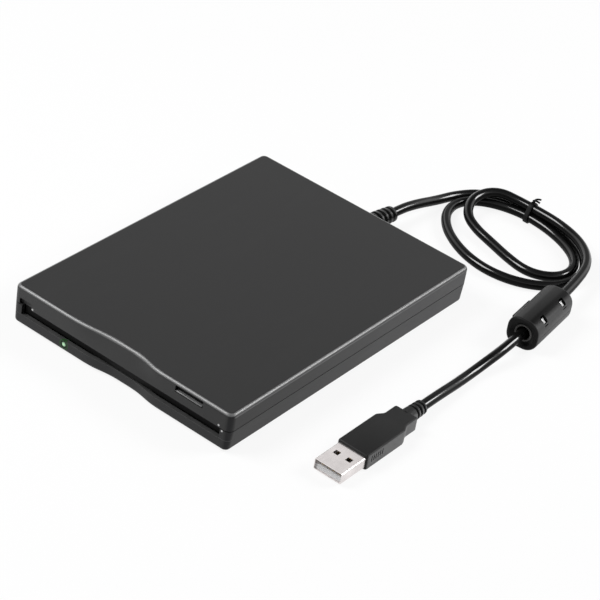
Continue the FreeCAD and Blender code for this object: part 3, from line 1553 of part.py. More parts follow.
def build_overmold():
    """Plug body: a wide grip, a narrower shoulder and a ribbed boot."""
    half = overmold_width / 2.0
    waist = overmold_waist / 2.0
    low = overmold_step_height
    grip = block(plug_x - half, plug_x + half, overmold_front, overmold_step, 0, overmold_height)
    grip = grip.makeFillet(overmold_edge, grip.Edges)
    shoulder = block(
        plug_x - waist, plug_x + waist, overmold_step - overmold_edge * 2.0, overmold_rear, low,
        overmold_height - low,
    )
    shoulder = shoulder.makeFillet(overmold_edge, shoulder.Edges)
    neck = boot_radius - seat_gap
    points = [(0, overmold_rear - window_rim), (neck, overmold_rear - window_rim)]
    pitch = (boot_length - boot_radius) / boot_ribs
    for index in range(boot_ribs):
        y = overmold_rear + neck * 0.6 + pitch * index
        core = boot_radius * 0.8 - slide_clearance * index
        rib = boot_radius - slide_clearance * index
        points += [(rib, y), (core, y), (core, y + pitch * 0.45), (rib - pin_clearance, y + pitch * 0.45)]
    points.append((boot_radius * 0.9, plug_tip_y - seat_gap * 3.0))
    points += [(boot_radius * 0.8, plug_tip_y), (0, plug_tip_y)]
    boot = revolve_y(points, plug_x, axis_z)
    grooves = []
    depth = grip_groove * 0.6
    for x in (plug_x - half, plug_x + half):
        for index in range(grip_grooves):
            y = overmold_front + grip_start + grip_pitch * index
            grooves.append(block(
                x - depth, x + depth, y, y + grip_groove, grip_rim, overmold_height - grip_rim,
            ))
    return cut(join([grip, shoulder, boot]), grooves)


def long_edges(solid):
    """Edges that run the length of the plug's shell."""
    return [edge for edge in solid.Edges if edge.BoundBox.YLength > plug_shell_length / 2.0]


def build_plug_shell():
    """Folded metal shell of the plug, with its four square holes."""
    w = plug_shell_width / 2.0
    h = plug_shell_height / 2.0
    t = plug_shell_sheet
    y0 = overmold_front - plug_shell_length
    y1 = overmold_front + window_rim
    outer = block(plug_x - w, plug_x + w, y0, overmold_front, axis_z - h, axis_z + h)
    outer = outer.makeFillet(plug_shell_radius, long_edges(outer))
    inner = block(plug_x - w + t, plug_x + w - t, y0 - window_rim, y1, axis_z - h + t, axis_z + h - t)
    inner = inner.makeFillet(plug_shell_radius - t, long_edges(inner))
    holes = []
    hole_y = overmold_front - plug_hole_set
    for x in (plug_x - plug_hole_offset, plug_x + plug_hole_offset):
        holes.append(block(x - plug_hole / 2.0, x + plug_hole / 2.0, hole_y, hole_y + plug_hole, -far, far))
    seam = block(
        plug_x - pin_clearance, plug_x + pin_clearance, y0 - window_rim, y1, -far, axis_z - h + t + seat_gap,
    )
    return cut(outer, [inner] + holes + [seam])


plug_floor = axis_z - plug_shell_height / 2.0 + plug_shell_sheet + pin_clearance
plug_tongue_front = overmold_front - plug_shell_length + board_gap
contact_bottom = plug_floor + plug_tongue_height - contact_sheet - pin_clearance


def build_plug_tongue():
    """Insulator block inside the metal shell, under the holes."""
    w = plug_shell_width / 2.0 - plug_shell_sheet - pin_clearance
    top = plug_floor + plug_tongue_height
    tongue = block(plug_x - w, plug_x + w, plug_tongue_front, overmold_front, plug_floor, top)
    grooves = []
    reach = contact_width / 2.0 + seat_gap
    for x in contact_x:
        grooves.append(block(
            plug_x + x - reach, plug_x + x + reach, plug_tongue_front + window_rim, overmold_front,
            contact_bottom, far,
        ))
    return cut(tongue, grooves)


def build_contacts():
    """Four contact strips in the insulator's grooves."""
    strips = []
    reach = contact_width / 2.0
    y0 = plug_tongue_front + ear_rise
    for x in contact_x:
        strips.append(block(
            plug_x + x - reach, plug_x + x + reach, y0, overmold_front, contact_bottom,
            contact_bottom + contact_sheet,
        ))
    return group(strips)


builders = {
    "top_cover": build_top_cover,
    "bottom_cover": build_bottom_cover,
    "rubber_feet": build_feet,
    "case_screws": build_case_screws,
    "dust_flap": build_flap,
    "flap_spring": build_flap_spring,
    "chassis_frame": build_chassis,
    "mechanism_cover": build_mech_cover,
    "chassis_screws": build_chassis_screws,
    "disk_carrier": build_carrier,
    "carrier_pins": build_carrier_pins,
    "slide_plate": build_slide_plate,
    "eject_button": build_button,
    "eject_springs": build_eject_springs,
    "shutter_lever": build_lever,
    "lever_pivot_pin": build_lever_pivot,
    "lever_spring": build_lever_spring,
    "motor_board": build_motor_board,
    "motor_stator": build_stator,
    "spindle_bearing": build_bearing,
    "spindle_rotor": build_rotor,
    "rotor_magnet": build_magnet,
    "spindle_shaft": build_spindle_shaft,
    "drive_pin": build_drive_pin,
    "guide_rods": build_guide_rods,
    "rod_clips": build_rod_clips,
    "head_carriage": build_carriage,
    "lower_head": build_lower_head,
    "head_arm": build_head_arm,
    "upper_head": build_upper_head,
    "arm_pivot_pin": build_arm_pin,
    "lead_screw": build_lead_screw,
    "stepper_motor": build_stepper,
    "screw_bracket": build_screw_bracket,
    "screw_follower": build_follower,
    "track_sensor": build_track_sensor,
    "controller_board": build_controller,
    "controller_chips": build_controller_chips,
    "bridge_board": build_bridge,
    "bridge_chips": build_bridge_chips,
    "ribbon_cable": build_ribbon,
    "light_pipe": build_light_pipe,
    "lamp_board": build_led_board,
    "strain_relief": build_strain_relief,
    "usb_lead": build_cord,
    "lead_tie": build_tie,
    "ferrite_base": build_ferrite_base,
    "ferrite_lid": build_ferrite_lid,
    "ferrite_core_lower": lambda: ferrite_core(True),
    "ferrite_core_upper": lambda: ferrite_core(False),
    "plug_overmold": build_overmold,
    "plug_shell": build_plug_shell,
    "plug_tongue": build_plug_tongue,
    "plug_contacts": build_contacts,
}

os.makedirs("parts", exist_ok=True)
for node, build in builders.items():
    shape = build()
    print(node, "solids", len(shape.Solids), "volume %.1f" % shape.Volume, "valid", shape.isValid())
    save(shape, node)
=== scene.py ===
"""Looks of an external 3.5-inch floppy disk drive and its tied lead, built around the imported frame."""

import logging
import math
from dataclasses import dataclass
from enum import Enum
from functools import cache
from typing import Callable, Iterable, Union

import bpy
from mathutils import Matrix, Vector


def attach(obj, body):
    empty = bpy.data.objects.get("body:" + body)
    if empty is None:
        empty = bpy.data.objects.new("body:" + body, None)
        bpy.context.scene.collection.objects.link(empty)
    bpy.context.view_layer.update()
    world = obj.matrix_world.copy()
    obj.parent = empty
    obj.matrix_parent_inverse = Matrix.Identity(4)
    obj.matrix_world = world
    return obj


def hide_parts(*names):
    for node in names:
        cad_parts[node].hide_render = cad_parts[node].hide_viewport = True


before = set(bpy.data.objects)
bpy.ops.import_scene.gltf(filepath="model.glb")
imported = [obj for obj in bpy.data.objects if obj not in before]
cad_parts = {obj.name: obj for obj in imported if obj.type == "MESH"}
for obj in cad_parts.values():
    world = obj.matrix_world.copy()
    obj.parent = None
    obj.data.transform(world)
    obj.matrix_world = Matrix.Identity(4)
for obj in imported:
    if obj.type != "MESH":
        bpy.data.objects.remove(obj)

log = logging.getLogger("floppy_drive")

MM = 0.001
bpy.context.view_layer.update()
Colour = tuple[float, float, float]
Point = tuple[float, float, float]
Span = tuple[float, float]
Inputs = dict[str | int, object]


# ------------------------------------------------------------------ shader graph
def even(level: float) -> Colour:
    """Returns a grey of this linear level."""
    return (level, level, level)


def grey(level: float, warmth: float = 0.0) -> Colour:
    """Returns the linear colour of a display grey from 0 to 255, a little warmer or cooler."""
    value = level / 255.0
    linear = ((value + 0.055) / 1.055) ** 2.4 if value > 0.04045 else value / 12.92
    return (linear * (1.0 + warmth), linear, linear * (1.0 - warmth))


def operator(operation: str, swapped: bool = False) -> Callable[["Wire", "Term"], "Wire"]:
    """Returns the method behind one of Wire's operators; a reflected form is swapped."""

    def method(self: "Wire", other: "Term") -> "Wire":
        """Returns the result of the operation on the wire and the other term."""
        return self.math(operation, *((other, self) if swapped else (self, other)))

    return method


class Wire:
    """One output socket of a graph; arithmetic on it adds Math nodes."""

    def __init__(self, graph: "Graph", socket: bpy.types.NodeSocket) -> None:
        """Keeps the graph and the socket that the wire starts from."""
        self.graph = graph
        self.socket = socket

    def math(self, operation: str, *terms: "Term") -> "Wire":
        """Returns the result of a Math node on these terms, in order."""
        return self.graph.node("Math", dict(enumerate(terms)), operation=operation)

    __add__ = operator("ADD")
    __radd__ = operator("ADD", swapped=True)
    __sub__ = operator("SUBTRACT")
    __rsub__ = operator("SUBTRACT", swapped=True)
    __mul__ = operator("MULTIPLY")
    __rmul__ = operator("MULTIPLY", swapped=True)
    __gt__ = operator("GREATER_THAN")
    __lt__ = operator("LESS_THAN")

    def sway(self, reach: float) -> "Wire":
        """Returns a pattern from 0 to 1 as a change of this size about none."""
        return (self - 0.5) * reach


Term = Union[Wire, float]
Parts = dict[str, Wire]


class Graph:
    """The node tree of one material, or of the world, filled by a finish."""

    def __init__(self, name: str, tree: bpy.types.NodeTree | None = None) -> None:
        """Starts an empty tree, in a new material unless a tree is given."""
        self.material: bpy.types.Material | None = None
        if tree is None:
            self.material = bpy.data.materials.new(name)
            self.material.use_nodes = True
            tree = self.material.node_tree
        self.tree = tree
        self.tree.nodes.clear()

    def node(
        self, kind: str, values: Inputs | None = None, output: str | int = 0, **settings: object
    ) -> Wire | None:
        """Adds a node of any kind.

        Args:
            kind: The node's type, without the ShaderNode before it.
            values: A number, colour or wire for each of its inputs, by name or place.
            output: The output to go on from, by name or place.
            settings: Its properties, which are set first.

        Returns:
            That output, or nothing for a node without outputs.
        """
        item = self.tree.nodes.new("ShaderNode" + kind)
        for key, value in settings.items():
            setattr(item, key, value)
        for key, value in (values or {}).items():
            socket = item.inputs[key]
            if isinstance(value, Wire):
                self.tree.links.new(value.socket, socket)
            elif socket.type == "RGBA" and len(value) == 3:
                socket.default_value = (*value, 1.0)
            else:
                socket.default_value = value
        return Wire(self, item.outputs[output]) if len(item.outputs) else None

    def place(self, stretch: Point = (1.0, 1.0, 1.0), turn: float = 0.0) -> Wire:
        """Returns Object coordinates, stretched along the axes and turned about the vertical."""
        spot = self.node("TexCoord", output="Object")
        if stretch == (1.0, 1.0, 1.0) and not turn:
            return spot
        return self.node("Mapping", {"Vector": spot, "Scale": stretch, "Rotation": (0.0, 0.0, turn)})

    def parts(self, vector: Wire) -> Parts:
        """Returns the three parts of a vector by their letters."""
        return {axis: self.node("SeparateXYZ", {"Vector": vector}, axis) for axis in "XYZ"}

    def facing(self) -> Parts:
        """Returns the parts of the surface's own direction."""
        return self.parts(self.node("TexCoord", output="Normal"))

    def noise(self, spot: Wire, size: float, detail: float = 2.0) -> Wire:
        """Returns noise from 0 to 1 whose features are of this size in metres."""
        return self.node("TexNoise", {"Vector": spot, "Scale": 1.0 / size, "Detail": detail})

    def cells(self, spot: Wire, size: float, output: str = "Distance") -> Wire:
        """Returns a pattern of cells of this size in metres."""
        return self.node("TexVoronoi", {"Vector": spot, "Scale": 1.0 / size}, output)

    def stripes(self, spot: Wire, pitch: float, axis: str) -> Wire:
        """Returns stripes of this pitch in metres across an axis, from 0 to 1."""
        values = {"Vector": spot, "Scale": math.tau / 20.0 / pitch}
        return self.node("TexWave", values, "Fac", bands_direction=axis, wave_profile="SIN")

    def ramp(self, value: Wire, low: float, high: float) -> Wire:
        """Returns the value spread so that low becomes 0 and high becomes 1."""
        return self.node("MapRange", {"Value": value, "From Min": low, "From Max": high}, clamp=True)

    def between(self, value: Wire, rise: Span, fall: Span) -> Wire:
        """Returns a mask that rises over one span of the value and falls over another."""
        return self.ramp(value, *rise) * (1.0 - self.ramp(value, *fall))

    def near(self, spot: Wire, middle: Point, reach: float, span: Span) -> Wire:
        """Returns a mask round a point: 1 within the first share of the reach, 0 past the second."""
        away = self.node("VectorMath", {0: spot, 1: middle}, "Value", operation="DISTANCE")
        return 1.0 - self.ramp(away, reach * span[0], reach * span[1])

    def mix(self, share: Term, first: object, second: object) -> Wire:
        """Returns the first colour going over to the second by the share."""
        return self.node("Mix", {0: share, 6: first, 7: second}, 2, data_type="RGBA")

    def bump(self, height: Wire, depth: float) -> Wire:
        """Returns the normal of a relief of this depth in metres."""
        return self.node("Bump", {"Height": height, "Distance": depth, "Strength": 1.0})


# ---------------------------------------------------------------------- finishes
@dataclass(frozen=True)
class Finish:
    """What every finish has: a name, which is the record's slot, and a colour."""

    name: str
    colour: Colour

    def shade(self, share: float, lift: float = 0.0) -> Colour:
        """Returns the colour times a share, and lifted."""
        return tuple(value * share + lift for value in self.colour)

    def inputs(self, graph: Graph, spot: Wire) -> Inputs:
        """Returns the inputs of the Principled surface that differ from Blender's own.

        Args:
            graph: The graph to add nodes to.
            spot: Object coordinates.

        Returns:
            A value or a wire for each input, by its name.
        """
        return {"Base Color": self.colour}

    def material(self) -> bpy.types.Material:
        """Returns the finish as a material."""
        graph = Graph(self.name)
        shader = graph.node("BsdfPrincipled", self.inputs(graph, graph.place()))
        graph.node("OutputMaterial", {"Surface": shader})
        return graph.material


@dataclass(frozen=True)
class MouldedPlastic(Finish):
    """Plastic with the fine grain of an eroded mould, and faint cloudy handling marks."""

    roughness: float = 0.5
    grain: float = 0.35 * MM
    relief: float = 0.018 * MM
    specular: float = 0.4
    marks: float = 0.06
    cloud: float = 28.0 * MM
    rub: float = 7.0 * MM
    rub_stretch: Point = (1.0, 0.22, 1.0)
    rub_turn: float = 0.6
    # A given edge colour is a painted highlight on the rounded edges.
    edge: Colour | None = None
    edge_highlight_rise: Span = (0.36, 0.6)
    edge_highlight_fall: Span = (0.93, 0.99)

    def tinted(self, graph: Graph, spot: Wire, way: Parts, tone: Wire) -> Wire:
        """Returns the colour with what is particular to one moulding; there is nothing on most."""
        return tone

    def inputs(self, graph: Graph, spot: Wire) -> Inputs:
        """Returns grain and marks; an edge colour is a painted highlight where the surface turns over,
        which also gets a coat.
        """
        grain = graph.noise(spot, self.grain, 3.0)
        pits = graph.cells(spot, self.grain * 1.7)
        cloud = graph.noise(spot, self.cloud, 4.0)
        rub = graph.noise(graph.place(self.rub_stretch, self.rub_turn), self.rub, 5.0)
        tone = graph.mix(cloud, self.shade(1.0 - self.marks), self.shade(1.0 + self.marks))
        tone = graph.mix(graph.ramp(grain, 0.35, 0.75) * 0.25, tone, self.shade(1.35))
        way = graph.facing()
        tone = self.tinted(graph, spot, way, tone)
        rough = self.roughness + cloud.sway(0.08) + grain.sway(0.1) - graph.ramp(rub, 0.55, 0.8) * 0.04
        gloss: Inputs = {}
        # Painted highlight: the paler edge colour where the surface turns over.
        if self.edge:
            turn = graph.between(way["Z"], self.edge_highlight_rise, self.edge_highlight_fall)
            tone = graph.mix(turn, tone, self.edge)
            gloss = {"Coat Weight": turn * 0.7, "Coat Roughness": 0.3}
        normal = graph.bump(grain + pits * 0.6, self.relief)
        specular = {"Specular IOR Level": self.specular}
        return {"Base Color": tone, "Roughness": rough, "Normal": normal, **specular, **gloss}


@dataclass(frozen=True)
class ShellPlastic(MouldedPlastic):
    """The case's plastic with painted light: paler front and side faces, painted shade in the upright
    corners, a painted highlight band and painted glints at the slot's ends.
    """

    # Painted light: a paler colour on the front faces, strongest at the left.
    front_painted_light: Colour = even(0.05)
    front_light_fade: Span = (-20.0 * MM, 45.0 * MM)
    # Painted light: a paler colour on the side faces, growing towards the back.
    side_painted_light: Colour = (0.085, 0.085, 0.087)
    side_light_fade: Span = (-60.0 * MM, 60.0 * MM)
    # Painted shade: a dark colour in the rounded upright corners.
    corner_painted_shade: Colour = (0.006, 0.006, 0.008)
    # Painted highlight: a pale band along the top of the side faces, from the given height up.
    band_painted_highlight: Colour = even(0.17)
    band: float = 14.8 * MM
    band_soft: float = 0.5 * MM
    # Painted glints: small pale spots at the slot's ends.
    glints: tuple[Point, ...] = ((-42.0 * MM, -71.0 * MM, 10.0 * MM), (46.4 * MM, -71.0 * MM, 10.2 * MM))
    glint: float = 0.42 * MM
    glint_span: Span = (0.7, 1.2)
    glint_colour: Colour = even(0.75)

    def tinted(self, graph: Graph, spot: Wire, way: Parts, tone: Wire) -> Wire:
        """Returns the colour with the painted light on the front and sides, the painted shade in the
        corners, the painted highlight band and the painted glints.
        """
        place = graph.parts(spot)
        across = graph.ramp(place["X"], *self.front_light_fade)
        # Painted light on the front faces, fading towards the right.
        front_light = graph.ramp(0.0 - way["Y"], 0.75, 0.95) * (1.0 - across * 0.6)
        tone = graph.mix(front_light, tone, self.front_painted_light)
        # Painted light on the side faces, paler towards the back.
        aside = graph.ramp(way["X"] * way["X"], 0.8, 0.95)
        back = graph.ramp(place["Y"], *self.side_light_fade)
        tone = graph.mix(aside * back * 0.85, tone, self.side_painted_light)
        # The painted highlight band along the top of the side faces.
        above = graph.ramp(place["Z"], self.band, self.band + self.band_soft)
        tone = graph.mix(aside * above, tone, self.band_painted_highlight)
        # Painted shade where the surface faces both front and side, in the upright corners.
        corner = way["X"] * way["X"] * way["Y"] * way["Y"]
        tone = graph.mix(graph.ramp(corner, 0.06, 0.16) * 0.75, tone, self.corner_painted_shade)
        # Painted glints at the slot's ends.
        for middle in self.glints:
            near = graph.near(spot, middle, self.glint, self.glint_span)
            tone = graph.mix(near, tone, self.glint_colour)
        return tone


@dataclass(frozen=True)
class LowerShellPlastic(ShellPlastic):
    """The lower shell's plastic: painted light on the slot's lip, and a painted green glow with a dark
    green ring round the lamp.
    """

    # Painted light on the front and side faces, and one painted glint at the slot's right end; the
    # highlight band is set out of reach.
    front_painted_light: Colour = (0.028, 0.028, 0.029)
    side_painted_light: Colour = (0.065, 0.065, 0.067)
    band: float = 40.0 * MM
    glints: tuple[Point, ...] = ((48.1 * MM, -70.9 * MM, 8.6 * MM),)
    lip_heights: Span = (5.0 * MM, 5.35 * MM)
    lip_back: float = -68.6 * MM
    # Painted light: the slot's lip, in shade under the upper shell, is painted paler, unevenly.
    lip_painted_light: Colour = even(0.06)
    lamp: Point = (-25.9 * MM, -71.0 * MM, 3.6 * MM)
    lamp_reach: float = 2.15 * MM
    # Painted glow: a green ring of the lamp's light on the shell, with a dark green ring inside it.
    lamp_painted_glow: Colour = (0.022, 0.07, 0.022)
    lamp_span: Span = (0.88, 1.05)
    lamp_dark: Colour = (0.003, 0.014, 0.004)
    lamp_dark_span: Span = (0.68, 0.8)

    def tinted(self, graph: Graph, spot: Wire, way: Parts, tone: Wire) -> Wire:
        """Returns the colour with the painted light on the lip and the painted green glow round the lamp.
        """
        tone = super().tinted(graph, spot, way, tone)
        place = graph.parts(spot)
        low, high = self.lip_heights
        # Painted light on the slot's lip, unevenly spread.
        on_lip = (place["Z"] > low) * (place["Z"] < high) * (place["Y"] < self.lip_back)
        uneven = graph.ramp(graph.noise(spot, 5.0 * MM, 3.0), 0.25, 0.6)
        tone = graph.mix(on_lip * (uneven * 0.4 + 0.6), tone, self.lip_painted_light)
        # The painted green glow round the lamp, then the dark green ring inside it.
        rings = ((self.lamp_painted_glow, self.lamp_span), (self.lamp_dark, self.lamp_dark_span))
        for colour, span in rings:
            tone = graph.mix(graph.near(spot, self.lamp, self.lamp_reach, span), tone, colour)
        return tone


@dataclass(frozen=True)
class ClampPlastic(MouldedPlastic):
    """The clamp's plastic with painted shade: a dark band along its crown, dark ends and a darker near
    side.
    """

    # Painted shade: a dark band along the crown, dark ends, and a darker near side.
    crown: Colour = even(0.006)
    crown_way: Span = (0.33, 0.944)
    crown_span: Span = (0.88, 0.985)
    near_side_painted_shade: Colour = even(0.045)

    def tinted(self, graph: Graph, spot: Wire, way: Parts, tone: Wire) -> Wire:
        """Returns the colour with painted shade on the crown, the ends and the near side."""
        tone = graph.mix(graph.ramp(way["X"], 0.1, 0.6), self.near_side_painted_shade, tone)
        crown = way["X"] * self.crown_way[0] + way["Z"] * self.crown_way[1]
        tone = graph.mix(graph.ramp(crown, *self.crown_span), tone, self.crown)
        return graph.mix(graph.ramp(way["Y"] * way["Y"], 0.06, 0.3) * 0.85, tone, self.crown)


@dataclass(frozen=True)
class Elastomer(Finish):
    """Soft black jacket or moulding: satin, with a faint orange peel and dusty patches."""

    roughness: float = 0.34
    peel: float = 1.1 * MM
    relief: float = 0.02 * MM
    specular: float = 0.5
    dust: float = 9.0 * MM
    polish: float = 0.0
    shoulder_rise: Span = (0.5, 0.68)
    shoulder_fall: Span = (0.86, 0.95)
    flank_painted_light: Colour | None = None

    def inputs(self, graph: Graph, spot: Wire) -> Inputs:
        """Returns peel and dust; handling polishes the upper side, and a paler colour is painted light on
        the side faces.
        """
        way = graph.facing()
        peel = graph.noise(spot, self.peel, 2.0)
        fine = graph.noise(spot, self.peel / 6.0, 2.0)
        dust = graph.ramp(graph.noise(spot, self.dust, 5.0), 0.5, 0.85)
        tone = graph.mix(dust * 0.35, self.colour, self.shade(2.2, 0.004))
        rough = self.roughness + dust * 0.16 + fine.sway(0.08)
        normal = graph.bump(peel, self.relief)
        gloss: Inputs = {}
        # Painted light: a paler colour on the side faces.
        if self.flank_painted_light:
            tone = graph.mix(graph.ramp(way["X"] * way["X"], 0.5, 0.8), tone, self.flank_painted_light)
        if self.polish:
            shoulder = graph.between(way["Z"], self.shoulder_rise, self.shoulder_fall)
            gloss = {"Coat Weight": shoulder * self.polish, "Coat Roughness": 0.1}
        specular = {"Specular IOR Level": self.specular}
        return {"Base Color": tone, "Roughness": rough, "Normal": normal, **specular, **gloss}


class Plating(Enum):
    """Which way a metal's fine lines run."""

    PLAIN = (1.0, 1.0, 1.0)
    ALONG_Y = (1.0, 0.04, 1.0)


@dataclass(frozen=True)
class Metal(Finish):
    """Bare or plated metal: fine lines along one axis, small stains and a spangle if it has one."""

    roughness: float = 0.28
    lines: Plating = Plating.PLAIN
    line_size: float = 0.12 * MM
    spangle: float = 0.0
    relief: float = 0.004 * MM

    def inputs(self, graph: Graph, spot: Wire) -> Inputs:
        """Returns the lines, the stains and the spangle."""
        line = graph.noise(graph.place(self.lines.value), self.line_size, 3.0)
        stain = graph.noise(spot, 6.0 * MM, 4.0)
        tone = graph.mix(graph.ramp(stain, 0.35, 0.75), self.shade(0.8), self.colour)
        rough = self.roughness + line.sway(0.18) + stain.sway(0.1)
        if self.spangle:
            flake = graph.node("SeparateColor", {"Color": graph.cells(spot, self.spangle, "Color")})
            rough = rough + flake.sway(0.16)
            tone = graph.mix(flake * 0.3, tone, self.shade(0.8))
        normal = graph.bump(line, self.relief)
        return {"Base Color": tone, "Metallic": 1.0, "Roughness": rough, "Normal": normal}


@dataclass(frozen=True)
class CircuitBoard(Finish):
    """Solder mask over copper tracks, with tinned pads."""

    track: Colour
    pitch: float = 1.3 * MM

    def inputs(self, graph: Graph, spot: Wire) -> Inputs:
        """Returns the tracks, which run one way or the other, and the pads."""
        region = graph.noise(spot, 7.0 * MM, 1.0)
        along, across = (graph.stripes(spot, self.pitch, axis) > 0.72 for axis in "XY")
        tracks = along * (region > 0.5) + across * (region < 0.46)
        pads = graph.cells(spot, self.pitch * 2.0) < 0.16
        tone = graph.mix(tracks, self.colour, self.track)
        tone = graph.mix(pads, tone, (0.62, 0.6, 0.55))
        rough = 0.32 + graph.noise(spot, 0.6 * MM).sway(0.12)
        normal = graph.bump(tracks + pads, 0.02 * MM)
        return {"Base Color": tone, "Roughness": rough, "Metallic": pads * 0.9, "Normal": normal}


@dataclass(frozen=True)
class Sintered(Finish):
    """Pressed and fired powder: a dark body full of fine pores."""

    roughness: float = 0.6
    pore: float = 0.3 * MM

    def inputs(self, graph: Graph, spot: Wire) -> Inputs:
        """Returns the pores and the cloudy tone between them."""
        pores = graph.ramp(graph.cells(spot, self.pore), 0.0, 0.45)
        cloud = graph.noise(spot, 3.0 * MM, 3.0)
        tone = graph.mix(pores * 0.6 + cloud * 0.4, self.shade(0.55), self.colour)
        rough = self.roughness + cloud.sway(0.15)
        return {"Base Color": tone, "Roughness": rough, "Normal": graph.bump(pores, 0.02 * MM)}


@dataclass(frozen=True)
class Winding(Finish):
    """Enamelled copper wire wound in neat turns."""

    wire: float = 0.18 * MM

    def inputs(self, graph: Graph, spot: Wire) -> Inputs:
        """Returns the turns of the wire, one above the other."""
        turns = graph.stripes(spot, self.wire, "Z")
        drift = graph.noise(spot, 1.5 * MM)
        tone = graph.mix(turns * 0.7 + drift * 0.3, self.shade(0.35), self.colour)
        normal = graph.bump(turns, self.wire / 3.0)
        return {"Base Color": tone, "Metallic": 0.9, "Roughness": 0.3 + drift * 0.1, "Normal": normal}


@dataclass(frozen=True)
class LampLens(Finish):
    """Clear green light pipe: a lit heart in a darker rim."""

    centre: Point
    heart: float = 0.6 * MM
    heart_span: Span = (0.5, 1.7)

    def inputs(self, graph: Graph, spot: Wire) -> Inputs:
        """Returns the glow of the heart in the lens."""
        glow = graph.near(spot, self.centre, self.heart, self.heart_span)
        cloud = graph.noise(spot, 0.5 * MM)
        return {
            "Base Color": graph.mix(glow * 0.6 + cloud * 0.1, self.colour, (0.5, 0.8, 0.5)),
            "Roughness": 0.12 + cloud * 0.06, "Coat Weight": 0.6,
            "Emission Color": graph.mix(glow, even(0.0), (0.45, 0.85, 0.48)), "Emission Strength": 0.55,
        }


# The case's paler edge colour is a painted highlight on its rounded edges.
CASE = ShellPlastic(
    "case_plastic", grey(35), roughness=0.4, relief=0.009 * MM, specular=0.22, edge=grey(108)
)
CASE_LOWER = LowerShellPlastic(
    "case_lower_plastic", grey(40), roughness=0.42, relief=0.009 * MM, specular=0.22
)
BLACK = MouldedPlastic("black_plastic", grey(12), roughness=0.6, grain=0.25 * MM, specular=0.12)
BUTTON = MouldedPlastic("button_plastic", grey(9), relief=0.004 * MM, specular=0.1)
# The lip's pale grey is a painted highlight along the button's lower edge.
BUTTON_LIP_PAINTED_HIGHLIGHT = MouldedPlastic("button_plastic", grey(105), 0.16, relief=0.002 * MM, specular=0.8)
# The clamp's grey is its lit side; the crown, the ends and the near side get painted shade.
CLAMP = ClampPlastic("clamp_plastic", grey(86), roughness=0.38, relief=0.005 * MM, specular=0.06)
# The nibs' near-white colour is a painted glint in the latch windows.
LATCH_PAINTED_GLINT = MouldedPlastic("clamp_plastic", grey(205), roughness=0.14, relief=0.001 * MM, specular=0.9)
TIE = Elastomer("tie_plastic", grey(12), roughness=0.45, specular=0.15)
LEAD = Elastomer("lead_rubber", grey(12), 0.3, relief=0.004 * MM, specular=0.08, polish=0.9)
# The grip's paler side colour is painted light on its sides.
GRIP = Elastomer("relief_rubber", grey(25), 0.5, relief=0.008 * MM, specular=0.2, flank_painted_light=grey(118))
RELIEF = Elastomer("relief_rubber", grey(20), roughness=0.22, relief=0.004 * MM, specular=0.45)
FOOT = Elastomer("foot_rubber", grey(30), roughness=0.7)
NYLON = MouldedPlastic("white_nylon", grey(224), roughness=0.45, marks=0.03)
INSULATOR = MouldedPlastic("plug_insulator", grey(232), roughness=0.4, relief=0.002 * MM, marks=0.02)
EPOXY = MouldedPlastic("chip_epoxy", grey(34), roughness=0.55, grain=0.15 * MM)
RIBBON = MouldedPlastic("ribbon", grey(226, 0.05), roughness=0.4, marks=0.04)
SCREW = Metal("steel_screw", (0.6, 0.6, 0.61), 0.3)
SHEET = Metal("sheet_steel", (0.62, 0.62, 0.63), 0.36, spangle=4.0 * MM)
STAINLESS = Metal("stainless", (0.68, 0.68, 0.69), 0.2, Plating.ALONG_Y)
SPRING = Metal("spring_steel", (0.6, 0.6, 0.62), 0.18)
PLUG_STEEL = Metal(
    "plug_steel", (0.93, 0.88, 0.87), 0.24, Plating.ALONG_Y, 0.25 * MM, relief=0.001 * MM
)
GOLD = Metal("contact_gold", (0.83, 0.62, 0.25), 0.2, Plating.ALONG_Y)
BRONZE = Metal("bronze", (0.55, 0.38, 0.2), 0.45)
CAST = Metal("cast_alloy", even(0.6), 0.5, spangle=0.6 * MM)
FERRITE = Sintered("ferrite", (0.06, 0.058, 0.056))
MAGNET = Sintered("magnet", even(0.09), 0.45)
CERAMIC = Sintered("head_ceramic", (0.75, 0.73, 0.68), 0.2, 0.12 * MM)
COPPER = Winding("copper", (0.62, 0.24, 0.1))
GREEN_BOARD = CircuitBoard("board_green", (0.015, 0.11, 0.04), (0.03, 0.2, 0.07))
BLACK_BOARD = CircuitBoard("board_black", (0.02, 0.02, 0.022), even(0.05))
LENS = LampLens("lamp_clear", (0.008, 0.07, 0.016), (-0.0259, -0.071, 0.0036))


@cache
def material_of(finish: Finish) -> bpy.types.Material:
    """Returns the material of a finish, made once."""
    return finish.material()


# ------------------------------------------------------------ carried-over nodes
@dataclass(frozen=True)
class Dressing:
    """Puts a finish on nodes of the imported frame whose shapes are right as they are."""

    finish: Finish
    nodes: str

    def build(self) -> None:
        """Gives each node, named in a row, the finish as its only material."""
        for node in self.nodes.split():
            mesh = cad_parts[node].data
            mesh.materials.clear()
            mesh.materials.append(material_of(self.finish))
            log.info("dressed %s in %s", node, self.finish.name)


